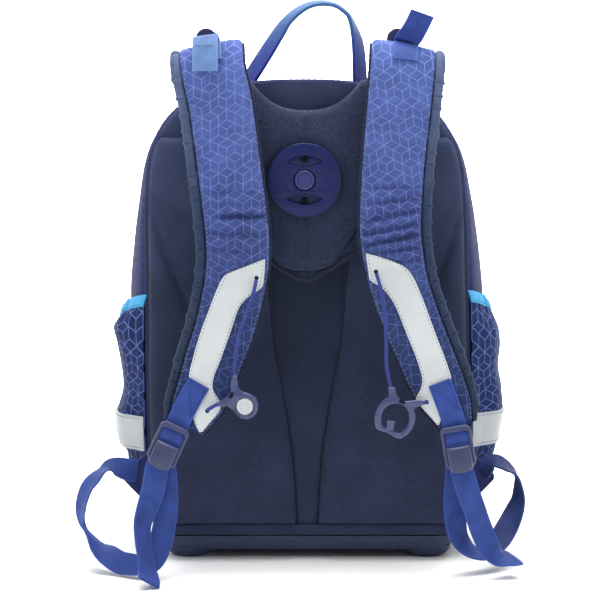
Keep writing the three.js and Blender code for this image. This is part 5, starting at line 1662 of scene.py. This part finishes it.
def strap_tab(side):
    strap = STRAPS[side]
    lean = BUCKLES[side][3]
    rows = []
    for x, z in TABS[side]:
        spot = on_cover(strap, *strap_place(strap, x, z), 1.2 + PATCH + WEB_THICK / 2)[0]
        rows.append((*spot, math.cos(lean), 0, -math.sin(lean)))
    rows += [in_buckle(side, 0, y, z) for y, z in TAB_ROUTE]
    tape("sewn_tab_" + side, rows, WEB_WIDE, WEB_THICK, tab_webbing, "blue_webbing", "strap_tab_" + side)
    last = 2.2 / (len(rows) - 1)
    frame_line = [
        (0.1, 0.02), (0.9, 0.02), (0.9, last), (0.1, last), (0.1, 0.02), (0.9, last), (0.9, 0.02),
        (0.1, last),
    ]
    line = []
    for (u0, v0), (u1, v1) in zip(frame_line, frame_line[1:]):
        line += [(u0 + (u1 - u0) * k / 12, v0 + (v1 - v0) * k / 12) for k in range(12)]
    places = [tape_spot(rows, WEB_WIDE, u, v, WEB_THICK / 2 + 0.1) for u, v in line]
    stitches("tab_stitches_" + side, sewn_along(places, 2.4), blue_thread, "blue_webbing")


for side in TABS:
    strap_tab(side)

# %% [markdown]
# The adjusting webbing starts at a cloth triangle on the bag's lower corner, swings out in an
# open loop, comes back behind the buckle, turns round its middle bar and ends in a loose tail.

# %% Adjusting webbing
BUCKLE_ROUTE = [
    (2.5, 3.9, -26), (1, 3.9, -18), (0, 3.9, -13.6), (0, 3.3, -10.7), (0, 1.3, -9.3), (0, -0.7, -10.7),
    (0, -1.3, -13.6), (0, -1.4, -19), (0, -1.8, -26), (0, -2.8, -34),
]
LOOPS = {
    "left": [
        (-145, -4.8, 75, 0.05, 0, 1), (-151.5, -7, 76.1, 0, 0.27, 0.96),
        (-162.7, -10, 79.2, 0.1, 0.76, 0.65), (-171.6, -14, 78.7, 0, 0.98, 0.19),
        (-181.5, -19, 70, -0.32, 0.9, 0.3), (-187.3, -25, 61.5, -0.44, 0.89, 0.14),
        (-189.8, -32, 51.1, -0.41, 0.9, 0.14), (-188.7, -40, 41.6, -0.35, 0.93, 0.07),
        (-185.4, -47, 34.4, -0.22, 0.97, -0.05), (-180.4, -54, 29.2, 0, 1, 0),
        (-173, -62, 21.2, 0.03, 0.93, 0.37), (-164.4, -69, 15.5, 0, 0.73, 0.68),
        (-155, -76, 11, 0, 0.61, 0.8), (-145.4, -83, 10.6, -0.03, 0.68, 0.73),
        (-136.5, -88, 11, -0.2, 0.8, 0.55), (-126.5, -91, 15.5, -0.7, 0.55, 0.5),
        (-120, -90, 31, -0.93, 0.2, 0.3), (-116, -86, 56, -0.93, 0, 0.35),
        (-116.6, -82, 80, -0.92, 0, 0.39),
    ],
    "right": [
        (147, -4.8, 76, 0, 0.3, 0.95), (156.8, -7, 83.1, 0, 0.88, 0.47),
        (164.1, -10, 81.6, 0.1, 0.94, 0.33), (172, -14, 75.4, 0.03, 0.97, 0.2),
        (175, -18, 68.3, -0.15, 0.98, 0), (175.5, -24, 58.5, -0.32, 0.95, 0),
        (173.4, -30, 49.6, -0.57, 0.82, 0.09), (168.8, -37, 39.5, -0.85, 0.52, 0.09),
        (163.1, -44, 30.4, -0.94, 0.28, 0.19), (157, -52, 23.4, -0.62, 0.67, 0.41),
        (149, -60, 17.6, -0.2, 0.88, 0.42), (138.9, -67, 17.3, -0.05, 0.93, 0.35),
        (127, -74, 26.4, 0.46, 0.74, 0.49), (120.7, -80, 40.2, 0.86, 0.49, 0.12),
        (119, -83, 61, 0.97, 0.1, 0.15), (120.4, -82.4, 80, 0.985, 0, 0.174),
    ],
}
TAILS = {
    "left": [
        (-126, -93.6, 73, -0.92, -0.1, 0.38), (-131, -97, 58.6, -0.82, -0.5, 0.2),
        (-134.2, -101, 47.4, -0.64, -0.74, 0.1), (-133.3, -106, 33.4, -0.55, -0.83, 0),
        (-130.7, -112, 19.7, -0.52, -0.85, 0), (-128.4, -120, 10.6, -0.56, -0.8, 0),
        (-127, -132, 6, -0.57, -0.78, 0.2),
    ],
    "right": [
        (129.6, -93.4, 70, 0.98, 0.15, 0.1), (134.3, -94, 57.1, 0.93, 0.3, 0.1),
        (139.2, -93, 42.7, 0.93, 0.3, 0.2), (145.1, -91, 29.5, 0.86, 0.35, 0.35),
        (151.1, -89, 21, 0.74, 0.6, 0.28), (157.5, -86, 17.3, 0.55, 0.82, 0.17),
        (164.2, -83, 15.6, 0.34, 0.91, 0.2), (171.1, -80, 13.8, 0, 1, 0.07),
    ],
}
for side, turn in SIDES.items():
    through = [in_buckle(side, -turn * x, y, z, turn) for x, y, z in BUCKLE_ROUTE]
    rows = LOOPS[side] + through + TAILS[side]
    # The right tape carries painted shade on its loop.
    webbing_material = blue_webbing if side == "left" else shaded_webbing
    tape(
        "adjusting_webbing_" + side, rows, WEB_WIDE, WEB_THICK,
        webbing_material, "blue_webbing", "strap_web_" + side,
    )
    hem = [tape_spot(rows, WEB_WIDE, 0.1 + 0.08 * k, 0.982, WEB_THICK / 2 + 0.1) for k in range(11)]
    stitches("tail_stitches_" + side, sewn_along(hem, 2.4), blue_thread, "blue_webbing")

# %% [markdown]
# Two short tabs close the tops of the straps: a light blue one folded down on the left, and a
# deep blue one that stands up on the right. The carrying handle is the same webbing, heavier,
# in a high loop whose legs turn outwards as they go down into the top seam.

# %% Lifter tabs
LIFTER_WIDE = 20.5
LIFTER_STEPS = [2.8, 2.6, 2.4, 2.2, 2.05]
LIFTERS = {
    "left": [
        (-83.4, -43.5, 436.6, 0.985, 0, 0.16), (-83.6, -49.5, 439.6, 0.985, 0, 0.16),
        (-83.8, -57, 438.8, 0.99, 0, 0.1), (-83.9, -63.5, 433, 1, 0, 0.05), (-83.9, -67, 423, 1, 0, 0),
        (-83.9, -68.4, 411.4, 1, 0, 0),
    ],
    "right": [
        (80.5, -45, 437, 0.975, 0.1, -0.18), (84.5, -46, 442.5, 0.965, 0.15, -0.2),
        (88.6, -48.5, 450, 0.96, 0.2, -0.2), (92.4, -52, 458.4, 0.96, 0.2, -0.2),
    ],
}
LIFTER_AT = 0.08
LIFTER_FINISH = {
    "left": (light_webbing, "light_webbing", grey_thread),
    "right": (tab_webbing, "blue_webbing", blue_thread),
}
LIFTER_SEWN = {
    "left": [((0.1, 0.82), (0.9, 0.82))],
    "right": [((0.1, 0.06), (0.9, 0.36)), ((0.9, 0.06), (0.1, 0.36))],
}
for side, (webbing_material, slot, thread) in LIFTER_FINISH.items():
    strap = STRAPS[side]
    lying = []
    for t in LIFTER_STEPS:
        spot = on_cover(strap, LIFTER_AT, t, GAP + WEB_THICK / 2)[0]
        lying.append((*spot, *strap_row(strap, t)[3:6]))
    rows = lying + LIFTERS[side]
    tape(
        "lifter_webbing_" + side, rows, LIFTER_WIDE, WEB_THICK,
        webbing_material, slot, "lifter_tab_" + side, detail=8,
    )
    spots = []
    for (u0, v0), (u1, v1) in LIFTER_SEWN[side]:
        line = [(u0 + (u1 - u0) * k / 20, v0 + (v1 - v0) * k / 20) for k in range(21)]
        places = [tape_spot(rows, LIFTER_WIDE, u, v, WEB_THICK / 2 + 0.1) for u, v in line]
        spots += sewn_along(places, 2.6)
    stitches("lifter_stitches_" + side, spots, thread, slot, 2.0, 0.7)

# %% Handle
HANDLE_WIDE, HANDLE_THICK, HANDLE_BACK = 22, 3, 14
HANDLE = [
    (-55, 398, -0.42, 0.25), (-49.5, 406.2, -0.42, 0.25), (-38.1, 424.1, -0.42, 0.25),
    (-25, 444.6, -0.34, 0.24), (-18.4, 454, -0.24, 0.22), (-9.9, 461.8, -0.15, 0.22),
    (-0.1, 467.4, -0.06, 0.19), (10.4, 469.4, 0, 0.16), (20.9, 468, 0.02, 0.12), (29.5, 463, 0.06, 0.08),
    (35.4, 455.4, 0.12, 0.03), (41.3, 435.6, 0.38, 0), (43.3, 406.2, 0.48, 0), (43.4, 397, 0.48, 0),
]
handle_rows = [
    (x, HANDLE_BACK, z, out, math.sqrt(1 - out * out - up * up), up)
    for x, z, out, up in HANDLE
]
tape(
    "webbing_handle", handle_rows, HANDLE_WIDE, HANDLE_THICK,
    handle_webbing, "blue_webbing", "handle", detail=9, camber=0.5,
)
spots = []
for u in (0.1, 0.9):
    steps = [0.04 + 0.92 * k / 120 for k in range(121)]
    edge = [tape_spot(handle_rows, HANDLE_WIDE, u, v, HANDLE_THICK / 2, 0.5) for v in steps]
    spots += sewn_along(edge, 3.0)
stitches("handle_stitches", spots, slate_thread, "blue_webbing")

# %% [markdown]
# The buckles, clips and lips are moulded, so no edge on them is sharp. A lip is a copy of its
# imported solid, merged, remeshed with fine voxels and smoothed: that melts every edge into the
# small radius that a mould gives. Frames and clips are flat plates, drawn like the disc.


# %% Rounded lips
def melted(node, name, voxel_mm, rounds, material, slot):
    """A rounded copy of a packed hard part."""
    made = linked(name, bpy.data.objects[node].data.copy())
    bpy.ops.object.mode_set(mode="EDIT")
    bpy.ops.mesh.select_all(action="SELECT")
    bpy.ops.mesh.remove_doubles(threshold=1e-5)
    bpy.ops.object.mode_set(mode="OBJECT")
    shaped(made, "REMESH", mode="VOXEL", voxel_size=voxel_mm * MM)
    shaped(made, "SMOOTH", factor=0.5, iterations=rounds)
    return dressed(made, material, slot, node, angle=80)


for side in SIDES:
    melted("lifter_lip_" + side, "rounded_lip_" + side, 0.5, 4, buckle_plastic, "buckle_plastic")


# %% Ladder buckles
TONGUE_TOP, TONGUE_LOW, TONGUE_HALF = -11.6, -33, 9.6
TONGUE_OUT, TONGUE_ROUND, TONGUE_TAPER, TONGUE_THICK = 2.6, 6, 4.5, 1.6


def tongue_place(side, back):
    """Place on the thumb plate of a buckle: it leans out at its top and rounds off at its foot."""
    def place(u, v):
        c, z = 2 * u - 1, TONGUE_LOW + (TONGUE_TOP - TONGUE_LOW) * v
        corner = clamp((TONGUE_ROUND - (z - TONGUE_LOW)) / TONGUE_ROUND)
        half = TONGUE_HALF - TONGUE_TAPER * (1 - math.sqrt(1 - corner * corner))
        bow = 2.2 * (1 - c * c) + 2.0 * math.sin(math.pi * min(1, 0.15 + 0.85 * v))
        edge = (1 - abs(c) ** 12) * (1 - abs(2 * v - 1) ** 16)
        out = -TONGUE_OUT - bow - (0 if back else TONGUE_THICK * edge)
        return at(*in_buckle(side, half * c, out, z)[:3])

    return place


FRAME_EDGE, FRAME_OPENING = rounded_box(-12.6, -29.5, 12.6, 5.2, 5), rounded_box(-9.7, -26.5, 9.7, 0.4, 2)
FRAME_THICK, FRAME_ROUND, FRAME_OUT = 4.4, 1.3, 1.6
for side, (x, y, z, lean) in BUCKLES.items():
    place = (x, y - FRAME_OUT, z)
    moulded_plate(
        "buckle_frame_" + side, [FRAME_EDGE, FRAME_OPENING], FRAME_THICK, FRAME_ROUND, place, lean,
        buckle_plastic, "buckle_plastic", "buckle_" + side,
    )
    tongue = pillow("buckle_tongue_" + side, 24, 30, tongue_place(side, False), tongue_place(side, True))
    dressed(tongue, buckle_plastic, "buckle_plastic", angle=60)

# %% Cord clips and button
CLIPS = {
    "left": {
        "place": (-51.8, -88, 141.4),
        "outline": [
            (-9.2, 25.2), (-6.4, 24.6), (-5.7, 20.8), (-5.2, 16.2), (-2.4, 12.6), (3.2, 10.4), (8.6, 7.2),
            (10.8, 1.2), (9.2, -5.6), (4.2, -9.7), (-1.6, -10), (-6, -7), (-9.8, -2.8), (-14.6, 0.2),
            (-20.4, 0), (-21.6, 2), (-20.4, 3.8), (-14.8, 7.6), (-11.6, 13), (-11.2, 20.4),
        ],
        "hole": ring(7.2, 24),
        "slot": (-11, 9.2, 3.2, 5.2, 0.45),
    },
    "right": {
        "place": (70, -89, 131.6),
        "outline": [
            (-5.6, 25.1), (-0.9, 25.3), (1.2, 18.8), (5.6, 14.6), (12.5, 14.6), (21.6, 15), (21.8, 11),
            (15.4, 8.2), (16.2, 1.3), (14.4, -6.3), (10, -12.5), (3.1, -16.3), (-6.3, -11.8),
            (-15.4, -8.2), (-16.9, -2.5), (-16.3, 3.8), (-14, 10), (-10, 14.8), (-5.6, 18.6),
        ],
        "hole": closed_curve([
            (11, 1.3), (10, -4.4), (6.9, -9.4), (2.6, -11.9), (-4, -9), (-10, -6.2), (-11.5, -1.3),
            (-10.7, 5), (-6.9, 10), (0, 12.3), (6.9, 10), (10.2, 5.6),
        ]),
        "slot": (5.2, 13.6, 5.2, 2.8, 0.35),
    },
}
CLIP_THICK, CLIP_ROUND = 4.0, 1.1
SLOT_THICK, SLOT_ROUND, SLOT_OUT = 1.2, 0.2, 1.6
for side, clip in CLIPS.items():
    lines = [closed_curve(clip["outline"]), clip["hole"]]
    moulded_plate(
        "cord_clip_" + side, lines, CLIP_THICK, CLIP_ROUND, clip["place"], 0,
        clip_plastic, "clip_plastic", "chest_clip_" + side,
    )
    # The slot is a thin dark plate set into the clip's face: painted shade of the opening.
    x, z, wide, tall, lean = clip["slot"]
    px, py, pz = clip["place"]
    slot_line = rounded_box(-wide / 2, -tall / 2, wide / 2, tall / 2, 0.6)
    moulded_plate(
        "clip_slot_" + side, [slot_line], SLOT_THICK, SLOT_ROUND, (px + x, py - SLOT_OUT, pz + z), lean,
        painted_hole_shade, "clip_plastic",
    )
catch = rounded_box(-6.6, -9.5, -0.4, -2.2, 0.8)
moulded_plate("clip_catch", [catch], 3.2, 0.8, CLIPS["right"]["place"], 0.1, clip_plastic, "clip_plastic")
BUTTON_PROFILE = [(6.8, 1.9), (6.8, -1.1), (6.5, -1.6), (5.9, -1.9), (4.4, -1.9), (4.0, -1.5), (1, -1.4)]
button_x, button_y, button_z = CLIPS["left"]["place"]
button_rows = [(radius, button_y + level) for radius, level in BUTTON_PROFILE]
button = turned("clip_button", button_rows, button_x, button_z, 48)
dressed(button, button_plastic, "white_plastic", "chest_button", angle=35)

# %% [markdown]
# Each side pocket is a gathered bag of navy print that swells out of the wall. Elastic pulls
# its mouth in, so small folds fan out below the bright trim, and a reflective band crosses it
# near the foot. A cloth triangle beside it takes the end of the adjusting webbing.

# %% Form of the pockets
POCKET_SHARE, POCKET_RAMP, POCKET_TUCK, POCKET_SUNK, POCKET_CLOTH = 0.62, 0.2, 3.4, 9, 1.2
UPPER_FOLDS, LOWER_FOLDS, FOLD_HIGH, MOUTH_FROM = 150, 84, 0.9, 172
POCKET_Z = [66, 78, 87, 97, 118, 138, 158, 178, 190, 198, 205]
POCKET_BULGE = {
    "left": [4.5, 9, 9.5, 15, 14.6, 7.6, 7.2, 9.8, 12, 7, 2.5],
    "right": [7, 11.4, 14, 15, 17.4, 15.8, 11, 12, 10, 6, 3],
}
MOUTHS = {"left": 199.7, "right": 203.5}
BANDS = {"left": (91.7, 121), "right": (95.4, 123.6)}
TRIM_TALL, TRIM_RISE, TRIM_OUT, TRIM_THICK, TRIM_LEAN, TRIM_LONG = 10.3, 14.5, 2.2, 1.8, 3.2, 118
PRINT_PULL = 0.76


def gathers(w, z):
    """Folds of the pocket: strong below the elastic and above the foot, none on the band."""
    upper = clamp((z - UPPER_FOLDS) / 50) ** 1.5
    lower = clamp((LOWER_FOLDS - z) / 14)
    folds = math.sin(2 * math.pi * (7.5 * w + 0.6 * math.sin(9 * w)))
    folds += 0.6 * math.sin(2 * math.pi * (13 * w + 0.3))
    sway = 0.5 * math.sin(2 * math.pi * (3 * w + z / 60))
    return FOLD_HIGH * (upper + 0.7 * lower) * folds + 0.7 * sway * clamp((z - 118) / 20)


def pocket_spot(side, w, z, lift):
    """Place on a pocket: w from its back seam to its front, z up."""
    t = edge_share(z)
    near = min(w, 1 - w) / POCKET_RAMP
    swollen = near / (1 + near ** 6) ** (1 / 6)
    bulge = smooth(POCKET_Z, POCKET_BULGE[side], clamp(z, POCKET_Z[0], POCKET_Z[-1]))
    sunk = POCKET_SUNK * (1 - swollen) if w > 0.5 else 0
    out = GAP + 0.3 + lift + (bulge + gathers(w, z)) * swollen - sunk
    spot = Vector(wall_spot(t if side == "right" else 1 - t, POCKET_SHARE * w, out))
    spot.y -= POCKET_TUCK * clamp(1 - 18 * w)
    return spot


def mouth_rise(w):
    return TRIM_RISE * (1 - min(1, w * 2))


# %% Pockets with trim and band
def pocket_pieces(side, turn):
    low, high = POCKET_Z[0], MOUTHS[side]
    band_low, band_high = BANDS[side]

    def cloth_spot(w, z, lift):
        spot = pocket_spot(side, w, z, lift)
        spot.z += clamp((z - MOUTH_FROM) / (high - MOUTH_FROM)) * mouth_rise(w)
        return spot

    round_row = [cloth_spot(k / 60, 145, CLOTH) for k in range(61)]
    round_run = length_run(round_row)
    pocket = cloth_grid(
        "gathered_pocket_" + side, 84, 72, lambda u, v: at(*cloth_spot(u, low + (high - low) * v, CLOTH)),
        lambda u, v: (turn * PRINT_PULL * np.interp(u * 60, range(61), round_run), (high - low) * v),
        flip=turn < 0,
    )
    thickened(pocket, POCKET_CLOTH)
    dressed(pocket, pocket_print, "pocket_cloth", "side_pocket_" + side, angle=70)

    def trim_spot(u, v):
        spot = pocket_spot(side, u, high, TRIM_OUT + 0.5 * math.sin(math.pi * v) - TRIM_LEAN * v)
        spot.z += mouth_rise(u) + GAP + v * TRIM_TALL
        return spot

    trim = cloth_grid(
        "elastic_trim_" + side, 84, 10, lambda u, v: at(*trim_spot(u, v)),
        lambda u, v: (v * TRIM_TALL, u * TRIM_LONG), flip=turn < 0,
    )
    thickened(trim, TRIM_THICK)
    dressed(trim, elastic, "elastic_trim", "pocket_trim_" + side, angle=60)

    def band_spot(u, v, lift=0.0):
        return pocket_spot(side, u, band_low + (band_high - band_low) * v, CLOTH + GAP + PATCH + lift)

    band = cloth_grid("reflective_band_" + side, 84, 16, lambda u, v: at(*band_spot(u, v)), flip=turn < 0)
    thickened(band, PATCH)
    dressed(band, band_cloth, "reflective_cloth", "pocket_band_" + side, angle=60)
    out = Vector((turn, -1, 0)).normalized()
    rows = [[(band_spot(k / 80, v, 0.2), out) for k in range(1, 80)] for v in (0.08, 0.92)]
    spots = [spot for row in rows for spot in sewn_along(row, 3.2)]
    stitches("band_stitches_" + side, spots, grey_thread, "reflective_cloth", 1.8, 0.7)
    hem = [(trim_spot(k / 80, 0.16) + 0.5 * out, out) for k in range(1, 80)]
    stitches("trim_stitches_" + side, sewn_along(hem, 3.0), blue_thread, "elastic_trim", 1.8, 0.6)


for side, turn in SIDES.items():
    pocket_pieces(side, turn)

# %% Cloth triangles
WING_SEAM, WING_TIP, WING_TIP_Z = 136.9, 157.5, 70
WING_TOP, WING_FOOT, WING_BACK, WING_THICK = 90, 46, -1, 2


def wing_place(turn):
    def place(u, v):
        x = WING_SEAM + (WING_TIP - WING_SEAM) * u
        top, foot = (z + (WING_TIP_Z - z) * u * 0.9 for z in (WING_TOP, WING_FOOT))
        billow = 0.8 * math.sin(math.pi * u) * math.sin(math.pi * v)
        return at(turn * x, WING_BACK - WING_THICK / 2 - billow, foot + (top - foot) * v)

    return place


for side, turn in SIDES.items():
    wing = cloth_grid("cloth_wing_" + side, 16, 24, wing_place(turn))
    thickened(wing, WING_THICK, 0)
    dressed(wing, wing_cloth, "pocket_cloth", "web_wing_" + side, angle=50)

# %% [markdown]
# One plain zip closes the top of the bag near its front. Its tape is dark, and the closed coil
# shows as a ribbed line along the middle.

# %% Zip
ZIP_FROM, ZIP_TO, ZIP_START, ZIP_END = 0.77, 0.83, 4 / 36, 32 / 36
ZIP_WIDE, ZIP_LONG, ZIP_LIFT = 9, 800, 1.4


def zip_spot(u, v, lift):
    along, across = ZIP_END + (ZIP_START - ZIP_END) * u, ZIP_FROM + (ZIP_TO - ZIP_FROM) * v
    return Vector(wall_spot(along, across, ZIP_LIFT + lift))


zip_tape = cloth_grid(
    "zip_tape", 220, 8, lambda u, v: at(*zip_spot(u, v, 0)), lambda u, v: (v * ZIP_WIDE, u * ZIP_LONG),
)
thickened(zip_tape, 0.9)
dressed(zip_tape, dark_binding, "zip_tape", "main_zip", angle=60)
coil_line = [zip_spot(k / 220, 0.5, 0.4) for k in range(221)]
rolled("zip_coil", 8, 900, (coil_line, 1.3, 0.3, 2.4), dark_binding, "zip_tape", 60)
